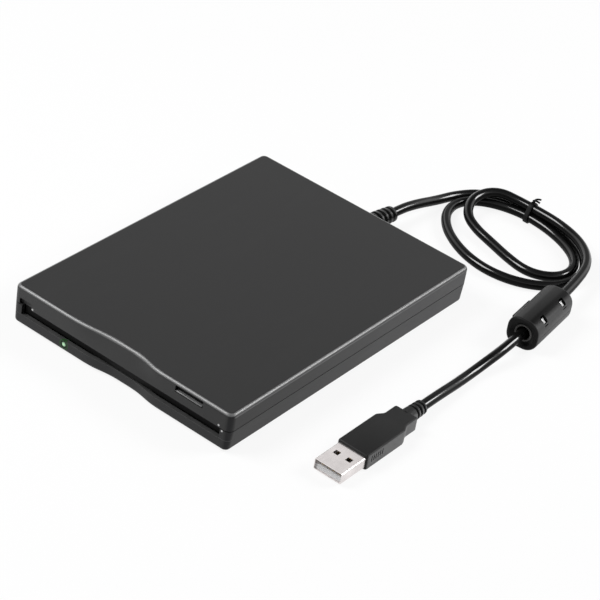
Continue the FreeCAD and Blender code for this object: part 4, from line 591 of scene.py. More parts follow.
DRESSINGS = (
    Dressing(CASE, "top_cover"),
    Dressing(CASE_LOWER, "bottom_cover"),
    Dressing(FOOT, "rubber_feet"),
    Dressing(SCREW, "case_screws chassis_screws"),
    Dressing(BLACK, "dust_flap rod_clips head_arm track_sensor"),
    Dressing(SPRING, "flap_spring eject_springs lever_spring"),
    Dressing(SHEET, "chassis_frame mechanism_cover disk_carrier slide_plate screw_bracket"),
    Dressing(STAINLESS, "carrier_pins lever_pivot_pin spindle_rotor spindle_shaft drive_pin"),
    Dressing(STAINLESS, "guide_rods arm_pivot_pin lead_screw stepper_motor"),
    Dressing(BUTTON, "eject_button"),
    Dressing(NYLON, "shutter_lever screw_follower"),
    Dressing(GREEN_BOARD, "motor_board controller_board bridge_board"),
    Dressing(COPPER, "motor_stator"),
    Dressing(BRONZE, "spindle_bearing"),
    Dressing(MAGNET, "rotor_magnet"),
    Dressing(CAST, "head_carriage"),
    Dressing(CERAMIC, "lower_head upper_head"),
    Dressing(EPOXY, "controller_chips bridge_chips"),
    Dressing(RIBBON, "ribbon_cable"),
    Dressing(LENS, "light_pipe"),
    Dressing(BLACK_BOARD, "lamp_board"),
    Dressing(RELIEF, "strain_relief"),
    Dressing(GRIP, "plug_overmold"),
    Dressing(TIE, "lead_tie"),
    Dressing(CLAMP, "ferrite_base ferrite_lid"),
    Dressing(FERRITE, "ferrite_core_lower ferrite_core_upper"),
    Dressing(PLUG_STEEL, "plug_shell"),
    Dressing(INSULATOR, "plug_tongue"),
    Dressing(GOLD, "plug_contacts"),
)


# ------------------------------------------------------------------------- stage
@dataclass(frozen=True)
class Softbox:
    """A square lamp that faces a point: its direction from there, distance, side and power."""

    name: str
    towards: Point
    distance: float
    side: float
    power: float

    def build(self, aim: Vector) -> None:
        """Hangs the lamp and turns it to the point."""
        lamp = bpy.data.lights.new(self.name, "AREA")
        lamp.size = self.side
        lamp.energy = self.power
        item = bpy.data.objects.new(self.name, lamp)
        way = Vector(self.towards).normalized()
        item.location = aim + way * self.distance
        item.rotation_euler = way.to_track_quat("Z", "Y").to_euler()
        bpy.context.scene.collection.objects.link(item)


@dataclass(frozen=True)
class Studio:
    """Pale floor, white surroundings, soft lamps and the camera."""

    azimuth: float = math.radians(33.25)
    elevation: float = math.radians(34.37)
    roll: float = math.radians(9.75)
    distance: float = 0.89319
    target: Point = (9.56 * MM, 22.09 * MM, 0.0)
    focal_pixels: float = 2355.9
    image_pixels: int = 600
    floor_size: float = 6.0
    floor_level: float = -0.05 * MM
    floor_glow: float = 0.88
    paper: Colour = even(0.42)
    paper_seen: Colour = even(0.9)
    ambient: Colour = (0.16, 0.16, 0.165)
    ambient_height: Span = (0.62, 0.76)
    lamps: tuple[Softbox, ...] = (
        Softbox("front_left_softbox", (-0.5, -0.45, 0.74), 1.1, 0.5, 9.5),
        Softbox("rear_right_softbox", (0.6, 0.62, 0.62), 1.1, 0.4, 7.5),
    )

    def build(self) -> None:
        """Makes the camera, the lamps, the surroundings and the floor."""
        self.camera()
        for lamp in self.lamps:
            lamp.build(Vector(self.target))
        self.surroundings()
        self.floor()
        bpy.context.scene.view_settings.view_transform = "Standard"

    def camera(self) -> None:
        """Makes the camera at its solved place, with its roll."""
        lens = bpy.data.cameras.new("camera")
        lens.sensor_width = 36.0
        lens.lens = self.focal_pixels / self.image_pixels * lens.sensor_width
        lens.clip_start = 0.01
        lens.clip_end = 50.0
        sine, cosine = math.sin(self.azimuth), math.cos(self.azimuth)
        level = math.cos(self.elevation)
        across = Vector((cosine, sine, 0.0))
        back = Vector((sine * level, -cosine * level, math.sin(self.elevation)))
        up = back.cross(across)
        right = across * math.cos(self.roll) + up * math.sin(self.roll)
        top = up * math.cos(self.roll) - across * math.sin(self.roll)
        item = bpy.data.objects.new("camera", lens)
        turn = Matrix((right, top, back)).transposed().to_4x4()
        item.matrix_world = Matrix.Translation(Vector(self.target) + back * self.distance) @ turn
        bpy.context.scene.collection.objects.link(item)
        bpy.context.scene.camera = item

    def seen(self, graph: Graph) -> Wire:
        """Returns 1 for rays that show the surroundings to the eye, in a mirror or through glass."""
        total = 0.0
        for output in ("Is Camera Ray", "Is Glossy Ray", "Is Transmission Ray"):
            total = graph.node("LightPath", output=output) + total
        return total.math("MINIMUM", total, 1.0)

    def surroundings(self) -> None:
        """Makes the world: white where it is seen, and a plain soft light elsewhere."""
        world = bpy.data.worlds.new("surroundings")
        world.use_nodes = True
        graph = Graph("surroundings", world.node_tree)
        way = graph.node("TexCoord", output="Generated")
        height = graph.node("SeparateXYZ", {"Vector": way}, "Z")
        shown = graph.mix(graph.ramp(height, *self.ambient_height), even(1.0), self.ambient)
        colour = graph.mix(self.seen(graph), self.ambient, shown)
        graph.node("OutputWorld", {"Surface": graph.node("Background", {"Color": colour})})
        bpy.context.scene.world = world

    def floor(self) -> None:
        """Lays a pale floor that keeps a soft shadow under the object."""
        bpy.ops.object.select_all(action="DESELECT")
        bpy.ops.mesh.primitive_plane_add(size=self.floor_size, location=(0.0, 0.0, self.floor_level))
        plane = bpy.context.object
        plane.name = "floor"
        graph = Graph("floor_paper")
        seen = self.seen(graph)
        matt = graph.node("BsdfDiffuse", {"Color": graph.mix(seen, self.paper, self.paper_seen)})
        white = graph.node("Emission", {"Color": even(1.0)})
        both = graph.node("MixShader", {0: seen * self.floor_glow, 1: matt, 2: white})
        graph.node("OutputMaterial", {"Surface": both})
        plane.data.materials.append(graph.material)


# --------------------------------------------------------------------- modelling
class Axis(Enum):
    """The axis of a turned piece, with the turn that lays a primitive's own axis on it."""

    Y = (-math.pi / 2.0, 0.0, 0.0)
    DISC_Y = (math.pi / 2.0, 0.0, 0.0)


def mm(*values: float) -> Vector:
    """Returns a point or a size given in millimetres."""
    return Vector(values) * MM


def mode(name: str) -> None:
    """Goes to edit mode or to object mode."""
    bpy.ops.object.mode_set(mode=name)


def lay(line: bpy.types.Curve, spots: Iterable[Point], radius: float, steps: int, sides: int) -> None:
    """Lays a round, capped line along control points.

    Args:
        line: The empty curve that takes it.
        spots: The control points in metres.
        radius: Half the thickness.
        steps: Pieces of line to each point.
        sides: Blender's bevel resolution, which sets the sides of the round.
    """
    route = list(spots)
    spline = line.splines.new("NURBS")
    spline.points.add(len(route) - 1)
    for point, spot in zip(spline.points, route):
        point.co = (*spot, 1.0)
    spline.order_u = 3
    spline.use_endpoint_u = True
    spline.resolution_u = steps
    line.bevel_depth = radius
    line.bevel_resolution = sides
    line.use_fill_caps = True


class Bench:
    """Models one piece by operators: a primitive at its place, shaped in edit mode, then modifiers."""

    def __init__(self, name: str) -> None:
        """Names the piece."""
        self.name = name
        self.item: bpy.types.Object | None = None

    def take(self) -> None:
        """Makes the piece the only one selected, in object mode."""
        if bpy.context.mode != "OBJECT":
            mode("OBJECT")
        bpy.ops.object.select_all(action="DESELECT")
        if self.item:
            self.item.select_set(True)
            bpy.context.view_layer.objects.active = self.item

    def placed(self) -> "Bench":
        """Names the new primitive and puts its place, turn and size into its mesh."""
        self.item = bpy.context.object
        self.item.name = self.name
        self.item.data.name = self.name
        bpy.ops.object.transform_apply(location=True, rotation=True, scale=True)
        return self

    def block(self, low: Vector, high: Vector) -> "Bench":
        """Starts from a box between two corners."""
        self.take()
        bpy.ops.mesh.primitive_cube_add(size=1.0, location=(low + high) / 2.0)
        bpy.context.object.scale = high - low
        return self.placed()

    def rod(self, middle: Vector, radius: float, length: float, sides: int) -> "Bench":
        """Starts from a round bar along the Y axis; its radius and length are in millimetres."""
        self.take()
        bpy.ops.mesh.primitive_cylinder_add(
            vertices=sides, radius=radius * MM, depth=length * MM, location=middle, rotation=Axis.Y.value
        )
        return self.placed()

    def turned(
        self, middle: Vector, profile: Iterable[Span], sides: int = 48,
        drift: Callable[[float], Vector] | None = None,
    ) -> "Bench":
        """Turns a piece about the Y axis through a point, by extruding a disc from ring to ring.

        Args:
            middle: A point on the axis; its y is not used.
            profile: Place along y and radius of each ring in millimetres, front to back.
            sides: Faces round the piece.
            drift: How far the axis of a bent piece is off at a place along y.

        Returns:
            This bench.
        """
        rings = [(place * MM, radius * MM) for place, radius in profile]
        y, radius = rings[0]
        off = Vector()
        self.take()
        bpy.ops.mesh.primitive_circle_add(
            vertices=sides, radius=radius, fill_type="NGON", location=(middle.x, y, middle.z),
            rotation=Axis.DISC_Y.value,
        )
        self.placed()
        self.edit("FACE", "SELECT")
        for next_y, next_radius in rings[1:]:
            next_off = drift(next_y) if drift else off
            step = next_off - off
            self.push(Vector((step.x, next_y - y, step.z)))
            share = next_radius / radius
            centre = Vector((middle.x + next_off.x, next_y, middle.z + next_off.z))
            self.stretch((share, 1.0, share), centre)
            y, radius, off = next_y, next_radius, next_off
        return self.outwards()

    def wire(self, points: Iterable[Vector], radius: float) -> "Bench":
        """Starts from a round wire on a smooth line through a few points."""
        self.take()
        bpy.ops.curve.primitive_nurbs_path_add()
        line = bpy.context.object.data
        line.splines.clear()
        lay(line, points, radius, steps=6, sides=3)
        bpy.ops.object.convert(target="MESH")
        return self.placed().outwards()

    def edit(self, kind: str, action: str = "DESELECT") -> None:
        """Goes to edit mode with all or nothing selected."""
        self.take()
        mode("EDIT")
        bpy.ops.mesh.select_mode(type=kind)
        bpy.ops.mesh.select_all(action=action)

    def pick(self, kind: str, test: Callable[[object], bool]) -> "Bench":
        """Selects the faces or the edges that pass a test, in edit mode."""
        self.edit(kind)
        mode("OBJECT")
        mesh = self.item.data
        for element in mesh.polygons if kind == "FACE" else mesh.edges:
            element.select = test(element)
        mode("EDIT")
        return self

    def faces(self, test: Callable[[Vector, Vector], bool]) -> "Bench":
        """Selects the faces whose middle and normal pass a test, in edit mode."""
        return self.pick("FACE", lambda face: test(face.center, face.normal))

    def edges(self, test: Callable[[Vector, Vector], bool]) -> "Bench":
        """Selects the edges whose two ends pass a test, in edit mode."""
        return self.pick(
            "EDGE", lambda edge: test(*(self.item.data.vertices[index].co for index in edge.vertices))
        )

    def push(self, by: Vector) -> "Bench":
        """Extrudes what is selected."""
        bpy.ops.mesh.extrude_region_move(TRANSFORM_OT_translate={"value": by})
        return self

    def stretch(self, by: Point, about: Vector) -> "Bench":
        """Scales what is selected about a point."""
        bpy.ops.transform.resize(value=by, center_override=about)
        return self

    def inset(self, rim: float, depth: float = 0.0) -> "Bench":
        """Insets the selected faces, and sinks them by a depth."""
        bpy.ops.mesh.inset(thickness=rim, depth=-depth)
        return self

    def rounded(self, radius: float, segments: int) -> "Bench":
        """Bevels the selected edges to a radius in millimetres."""
        bpy.ops.mesh.bevel(offset=radius * MM, segments=segments, affect="EDGES", clamp_overlap=True)
        mode("OBJECT")
        return self

    def outwards(self) -> "Bench":
        """Merges doubles and turns every face outwards."""
        self.edit("FACE", "SELECT")
        bpy.ops.mesh.remove_doubles(threshold=0.0005 * MM)
        bpy.ops.mesh.normals_make_consistent(inside=False)
        mode("OBJECT")
        return self

    def modify(self, kind: str, **settings: object) -> "Bench":
        """Adds a modifier with these settings and applies it."""
        self.take()
        change = self.item.modifiers.new(kind.lower(), kind)
        for key, value in settings.items():
            setattr(change, key, value)
        bpy.ops.object.modifier_apply(modifier=change.name)
        return self

    def soften(self, radius: float, segments: int = 2, angle: float = 40.0) -> "Bench":
        """Rounds every edge that turns by more than an angle, to a radius in millimetres."""
        limit = math.radians(angle)
        return self.modify(
            "BEVEL", width=radius * MM, segments=segments, limit_method="ANGLE", angle_limit=limit
        )

    def combine(self, other: "Bench", operation: str) -> "Bench":
        """Joins, cuts or intersects this piece with another, which is used up."""
        self.modify("BOOLEAN", object=other.item, operation=operation, solver="EXACT")
        bpy.data.objects.remove(other.item)
        return self

    def turn(self, angle: float, about: Vector, axis: str = "Z") -> "Bench":
        """Turns the whole piece about a line through a point, upright unless an axis is named."""
        self.item.data.transform(
            Matrix.Translation(about) @ Matrix.Rotation(angle, 4, axis) @ Matrix.Translation(-about)
        )
        return self

    def finish(
        self, body: str, finish: Finish, stands_for: tuple[str, ...] = (), angle: float = 35.0
    ) -> None:
        """Shades the piece, dresses it and lets it ride.

        Args:
            body: The body of the frame that it moves with.
            finish: Its finish, whose name is the record's slot.
            stands_for: The nodes of the frame that it replaces.
            angle: Edges that turn by more stay sharp.
        """
        self.take()
        bpy.ops.object.shade_smooth_by_angle(angle=math.radians(angle))
        self.item.data.materials.clear()
        self.item.data.materials.append(material_of(finish))
        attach(self.item, body)
        if stands_for:
            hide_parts(*stands_for)
        log.info("built %s: %d faces on %s", self.name, len(self.item.data.polygons), body)


# -------------------------------------------------------------------------- lead
@dataclass(frozen=True)
class Lead:
    """The lead on the table: two tied loops between the strain relief and the plug."""

    diameter: float = 4.0 * MM
    length: float = 559.8 * MM
    route: tuple[Point, ...] = (
        (0.9, 91, 6.3), (1.4, 97.5, 6.4), (2.6, 106.5, 5.4), (3.6, 118, 2.7), (6.2, 129, 2.1),
        (11.8, 138, 2.1), (21.6, 143, 2.4), (34, 143.4, 2.85), (45.8, 142.6, 2.5), (57.2, 139.6, 2.1),
        (67.5, 133, 2.1), (73.9, 123, 2.1), (74, 111.8, 2.1), (68.8, 102.4, 2.1), (59.3, 96, 2.1),
        (48, 93.5, 2.1), (37, 95, 2.1), (27, 99.3, 2.1), (18, 105.8, 2.1), (11.5, 114.3, 2.1),
        (9.6, 123.8, 2.1), (13.4, 132, 2.1), (22, 137.2, 2.3), (34, 138.9, 2.85), (45.2, 138.2, 2.5),
        (56, 135.1, 2.1), (64.9, 129.3, 2.1), (69.5, 122, 2.1), (69.3, 114, 2.1), (64.3, 107.9, 2.1),
        (56.6, 105.4, 2.1), (46.4, 107.8, 2.1), (37, 111.2, 2.1), (27.3, 113.9, 2.6), (19.6, 117.6, 3.8),
        (15.5, 125, 5.7), (16.4, 133, 6.9), (21, 138.9, 7.0), (28.3, 140.4, 6.3), (38, 140.6, 6.1),
        (48.4, 140, 6.0), (58.6, 137.2, 6.0), (66.4, 132.6, 6.1), (72.6, 125.6, 6.4), (76.4, 116.8, 6.6),
        (79.75, 97.8, 6.65), (84.55, 56.2, 6.65), (82.3, 36, 2.1), (82.4, 23.4, 2.1), (82.8, 10.2, 3.3),
        (82.8, 0.4, 3.3),
    )
    along: tuple[str, ...] = (
        "twist_tie", "tie_end_0", "tie_end_1", "latch_tip_0", "latch_tip_1",
        "ferrite_case_lower", "ferrite_case_upper", "ferrite_core_lower", "ferrite_core_upper",
        "plug_grip", "plug_shell", "plug_tongue", "plug_contacts",
    )

    def build(self) -> None:
        """Draws the lead on its route."""
        line = bpy.data.curves.new("usb_lead_line", "CURVE")
        line.dimensions = "3D"
        spots = [tuple(value * MM for value in spot) for spot in self.route]
        lay(line, spots, self.diameter / 2.0, steps=10, sides=6)
        lead = bpy.data.objects.new("lead_jacket", line)
        bpy.context.scene.collection.objects.link(lead)
        lead.data.materials.append(material_of(LEAD))
        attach(lead, "case")
        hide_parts("usb_lead")
        log.info("built lead_jacket on %d route points", len(self.route))


@dataclass(frozen=True)
class Plug:
    """The plug's moulded body: a wide grip with grooves, a tapered shoulder and a ribbed boot."""

    x: float = 82.8
    axis: float = 3.3
    front: float = -41.1
    taper_start: float = -19.2
    waist_start: float = -16.2
    waist_end: float = -9.1
    boot_end: float = 0.4
    width: float = 13.5
    waist: float = 10.2
    height: float = 6.6
    waist_height: float = 6.1
    edge: float = 1.0
    mouth_rim: float = 0.8
    mouth_depth: float = 0.3
    groove: float = 0.5
    groove_pitch: float = 1.25
    groove_count: int = 6
    groove_start: float = -38.6
    groove_low: float = 3.0
    groove_high: float = 5.5
    boot_start_radius: float = 3.2
    boot_end_radius: float = 2.75
    boot_end_round: float = 0.35
    boot_rings: int = 3
    boot_ring_pitch: float = 2.1
    boot_ring_groove: float = 0.85
    boot_ring_depth: float = 0.8
    boot_ring_round: float = 0.2

    def build(self) -> None:
        """Models the grip, cuts its grooves and joins the boot to it."""
        grip = self.grip()
        for side in (-1.0, 1.0):
            grip.combine(self.comb(side), "DIFFERENCE")
        grip.combine(self.boot(), "UNION")
        grip.finish("case", GRIP, ("plug_overmold",), angle=32.0)

    def grip(self) -> Bench:
        """Returns the grip and shoulder: a box drawn back, tapered and drawn back again."""
        half = self.width / 2.0
        body = Bench("plug_grip").block(
            mm(self.x - half, self.front, 0.0), mm(self.x + half, self.taper_start, self.height)
        )
        body.faces(lambda middle, normal: normal.y > 0.9)
        body.push(mm(0.0, self.waist_start - self.taper_start, 0.0))
        narrow = (self.waist / self.width, 1.0, self.waist_height / self.height)
        body.stretch(narrow, mm(self.x, self.waist_start, self.axis))
        body.push(mm(0.0, self.waist_end - self.waist_start, 0.0))
        body.outwards().soften(self.edge, 4, 20.0)
        front = (self.front + 0.01) * MM
        body.faces(lambda middle, normal: middle.y < front)
        body.inset(self.mouth_rim * MM * 0.4).inset(self.mouth_rim * MM * 0.2, self.mouth_depth * MM)
        mode("OBJECT")
        return body

    def comb(self, side: float) -> Bench:
        """Returns the row of bars that cuts the finger grooves of one side."""
        reach = self.width / 2.0 * side
        bite = self.groove * 0.7
        bar = Bench("groove_comb").block(
            mm(self.x + reach - bite, self.groove_start, self.groove_low),
            mm(self.x + reach + bite, self.groove_start + self.groove, self.groove_high),
        )
        return bar.modify(
            "ARRAY", count=self.groove_count, use_relative_offset=False, use_constant_offset=True,
            constant_offset_displace=mm(0.0, self.groove_pitch, 0.0),
        )

    def boot(self) -> Bench:
        """Returns the boot: a cone out of the shoulder with grooves near its end."""
        start = self.waist_end - self.edge
        fall = (self.boot_start_radius - self.boot_end_radius) / (self.boot_end - start)

        def cone(y: float) -> float:
            """Returns the cone's radius at a place along y."""
            return self.boot_start_radius - fall * (y - start)

        rings = [(start, self.boot_start_radius)]
        soft = self.boot_ring_round
        for index in range(self.boot_rings, 0, -1):
            y = self.boot_end - self.boot_ring_pitch * index + 0.1
            low = cone(y) - self.boot_ring_depth
            rings += [(y - soft, cone(y)), (y, cone(y) - soft), (y + soft * 0.5, low)]
            y += self.boot_ring_groove
            rings += [(y - soft * 0.5, low), (y, cone(y) - soft), (y + soft, cone(y))]
        tip = cone(self.boot_end)
        rings += [(self.boot_end - self.boot_end_round, tip), (self.boot_end, tip - self.boot_end_round)]
        return Bench("plug_boot").turned(mm(self.x, 0.0, self.axis), rings)


@dataclass(frozen=True)
class StrainRelief:
    """The relief behind the drive: a flange in the wall, a collar and a row of smaller ribs."""

    x: float = 0.5
    z: float = 7.6
    inside: float = 67.6
    wall: float = 68.9
    rear: float = 71.0
    collar: float = 1.8
    end: float = 91.0
    tail: float = 0.8
    flange: float = 4.2
    neck: float = 3.2
    rib: float = 4.1
    rib_share: float = 0.55
    core: float = 2.95
    taper: float = 0.14
    count: int = 6
    sag: Point = (0.4, 0.0, -1.3)
    sag_power: float = 1.6
    last_rings: tuple[Span, ...] = ((-0.5, 2.7), (0.0, 2.45))

    def drift(self, y: float) -> Vector:
        """Returns how far the relief's axis has bent over and down at a place along y."""
        share = max(0.0, y / MM - self.rear) / (self.end - self.rear)
        return mm(*self.sag) * share ** self.sag_power

    def ribs(self, start: float, pitch: float) -> list[Span]:
        """Returns the rings of the rounded ribs, from the first groove on; each rib is smaller."""
        rings: list[Span] = []
        groove = pitch * (1.0 - self.rib_share)
        soft = pitch * self.rib_share * 0.22
        for index in range(self.count):
            y = start + pitch * index
            top = self.rib - self.taper * index
            low = self.core - self.taper * index * 0.5
            crest = y + groove
            rings += [(y, low), (crest, low), (crest + soft * 0.3, top - soft), (crest + soft, top)]
            rings += [(y + pitch - soft, top), (y + pitch - soft * 0.3, top - soft)]
        return rings

    def build(self) -> None:
        """Turns the relief in one piece, bent a little by the lead's weight."""
        start = self.rear + self.collar
        pitch = (self.end - self.tail - start) / self.count
        rings = [
            (self.inside, self.flange), (self.wall, self.flange), (self.wall + 0.02, self.neck),
            (self.rear, self.neck), (self.rear + 0.02, self.flange - 0.2), (self.rear + 0.25, self.flange),
            (start - 0.3, self.flange), (start - 0.05, self.flange - 0.25),
            *self.ribs(start, pitch), *((self.end + off, radius) for off, radius in self.last_rings),
        ]
        relief = Bench("lead_relief").turned(mm(self.x, 0.0, self.z), rings, drift=self.drift)
        relief.finish("case", RELIEF, ("strain_relief",), angle=50.0)


@dataclass(frozen=True)
class FerriteClamp:
    """The clamp on the lead: two rounded half cases hinged on one side and latched on the other."""

    centre: Point = (82.156, 76.95, 6.65)
    yaw: float = math.atan2(4.8, 41.6)
    length: float = 30.0
    width: float = 13.3
    corner: float = 5.3
    rim: float = 1.3
    cavity: float = 5.5
    wall: float = 1.5
    bore: float = 2.7
    dish: float = 5.0
    dish_depth: float = 1.45
    seam: float = 0.06
    latch_offset: float = 7.65
    window_turn: float = math.radians(49.0)
    window_half: float = 1.4
    window_reach: float = 1.65
    window_depth: float = 1.5
    channel: float = 6.3
    channel_top: float = 3.6
    hook_foot: float = -1.5
    hook_knee: float = 2.4
    hook_lean: Point = (-0.75, 0.0, 2.1)
    hook_margins: Span = (0.15, -0.1)
    tip_reach: float = 1.45
    tip_span: Span = (-1.3, 0.75)
    tip_margins: Span = (0.12, 0.05)
    hinge_x: float = -7.8
    knuckle: float = 0.65
    hinge_half: float = 6.5
    ear: float = 1.5

    def at(self, x: float, y: float, z: float) -> Vector:
        """Returns a point of the clamp's own frame, before it is turned."""
        return mm(*self.centre) + mm(x, y, z)

    def block(self, name: str, low: Point, high: Point) -> Bench:
        """Returns a box between two corners of the clamp's own frame."""
        return Bench(name).block(self.at(*low), self.at(*high))

    def build(self) -> None:
        """Models one hollow case, halves it, and adds the hinge and the latches."""
        lower = self.half("ferrite_case_lower", -1.0)
        upper = self.half("ferrite_case_upper", 1.0)
        for index, y in enumerate((-self.latch_offset, self.latch_offset)):
            upper.combine(self.channel_cut(y), "DIFFERENCE")
            upper.combine(self.window(y), "DIFFERENCE")
            lower.combine(self.hook(y), "UNION")
            self.tip(f"latch_tip_{index}", y).turn(self.yaw, mm(*self.centre)).finish("case", LATCH_PAINTED_GLINT)
        for y in (-self.hinge_half + self.ear / 2.0, self.hinge_half - self.ear / 2.0):
            lower.combine(self.hinge_part(y, self.ear, -1.0), "UNION")
        upper.combine(self.hinge_part(0.0, (self.hinge_half - self.ear - 0.4) * 2.0, 1.0), "UNION")
        for piece, body, node in ((lower, "case", "ferrite_base"), (upper, "ferrite_lid", "ferrite_lid")):
            piece.turn(self.yaw, mm(*self.centre)).finish(body, CLAMP, (node,))

    def half(self, name: str, side: float) -> Bench:
        """Returns the lower or the upper half of the hollow case."""
        half = self.width / 2.0
        reach = self.length / 2.0
        case = self.block(name, (-half, -reach, -half), (half, reach, half))
        case.edges(lambda first, second: abs(first.y - second.y) > self.length * MM * 0.9)
        case.rounded(self.corner, 10)
        end = (reach - 0.01) * MM
        middle_y = self.centre[1] * MM

        def on_rim(first: Vector, second: Vector) -> bool:
            """Returns whether an edge lies in one of the two end faces."""
            ends = first.y - middle_y, second.y - middle_y
            return abs(ends[0]) > end and abs(ends[1]) > end and ends[0] * ends[1] > 0.0

        case.edges(on_rim).rounded(self.rim, 5)
        hollow = Bench("cavity").rod(self.at(0, 0, 0), self.cavity, self.length - self.wall * 2.0, 64)
        case.combine(hollow, "DIFFERENCE").combine(self.passage(), "DIFFERENCE")
        far = self.length
        low, high = (-self.seam, far) if side < 0.0 else (-far, self.seam)
        return case.combine(self.block("away", (-far, -far, low), (far, far, high)), "DIFFERENCE")

    def passage(self) -> Bench:
        """Returns the lead's passage through the case, which opens into a dish at each end."""
        reach = self.length / 2.0
        foot = -reach + self.dish_depth
        rings = [(-reach - 1.0, self.dish), (-reach, self.dish), (foot, self.bore + 0.5)]
        rings += [(foot + 0.05, self.bore)]
        rings += [(-y, radius) for y, radius in rings[::-1]]
        placed = [(self.centre[1] + y, radius) for y, radius in rings]
        return Bench("passage").turned(self.at(0, 0, 0), placed, 56)

    def window(self, y: float) -> Bench:
        """Returns the bar that cuts one latch window, high on the latch side."""
        radius = self.width / 2.0
        cutter = self.block(
            "window", (radius - self.window_depth, y - self.window_half, -self.window_reach),
            (radius * 1.5, y + self.window_half, self.window_reach),
        )
        cutter.edges(lambda first, second: abs(first.x - second.x) > 1.0 * MM).rounded(0.3, 3)
        return cutter.turn(-self.window_turn, self.at(0, 0, 0), "Y")

    def channel_cut(self, y: float) -> Bench:
        """Returns the bar that clears the latch's way up the inside of the wall."""
        half = self.window_half
        low, high = (self.cavity * 0.8, y - half, -1.0), (self.channel, y + half, self.channel_top)
        return self.block("channel", low, high)

    def across(self, y: float, margins: Span) -> Span:
        """Returns where a latch's piece starts and ends along y: off the window's side and its middle."""
        return (y - self.window_half + margins[0], y + margins[1])

    def hook(self, y: float) -> Bench:
        """Returns one latch hook: an upright tongue whose upper part leans inwards."""
        low, high = self.across(y, self.hook_margins)
        inner, outer = self.cavity - 0.02, self.channel - 0.35
        tongue = self.block("hook", (inner, low, self.hook_foot), (outer, high, self.hook_knee))
        top = (self.centre[2] + self.hook_knee - 0.1) * MM
        tongue.faces(lambda middle, normal: normal.z > 0.9 and middle.z > top)
        return tongue.push(mm(*self.hook_lean)).outwards().soften(0.08)

    def tip(self, name: str, y: float) -> Bench:
        """Returns the polished nib on a latch hook, which fills part of its window; its near-white colour
        is a painted glint.
        """
        low, high = self.across(y, self.tip_margins)
        bottom, top = self.tip_span
        nib = self.block(name, (self.cavity - 0.1, low, bottom), (self.cavity + self.tip_reach, high, top))
        return nib.soften(0.1, 3).turn(-self.window_turn, self.at(0, 0, 0), "Y")

    def hinge_part(self, y: float, length: float, side: float) -> Bench:
        """Returns a knuckle with the web that joins it to its half."""
        knuckle = Bench("knuckle").rod(self.at(self.hinge_x, y, 0.0), self.knuckle, length, 24)
        low, high = sorted((side * 0.1, side * self.knuckle))
        inside = -self.width / 2.0 + 0.6
        web = self.block("web", (self.hinge_x, y - length / 2.0, low), (inside, y + length / 2.0, high))
        return knuckle.combine(web, "UNION")


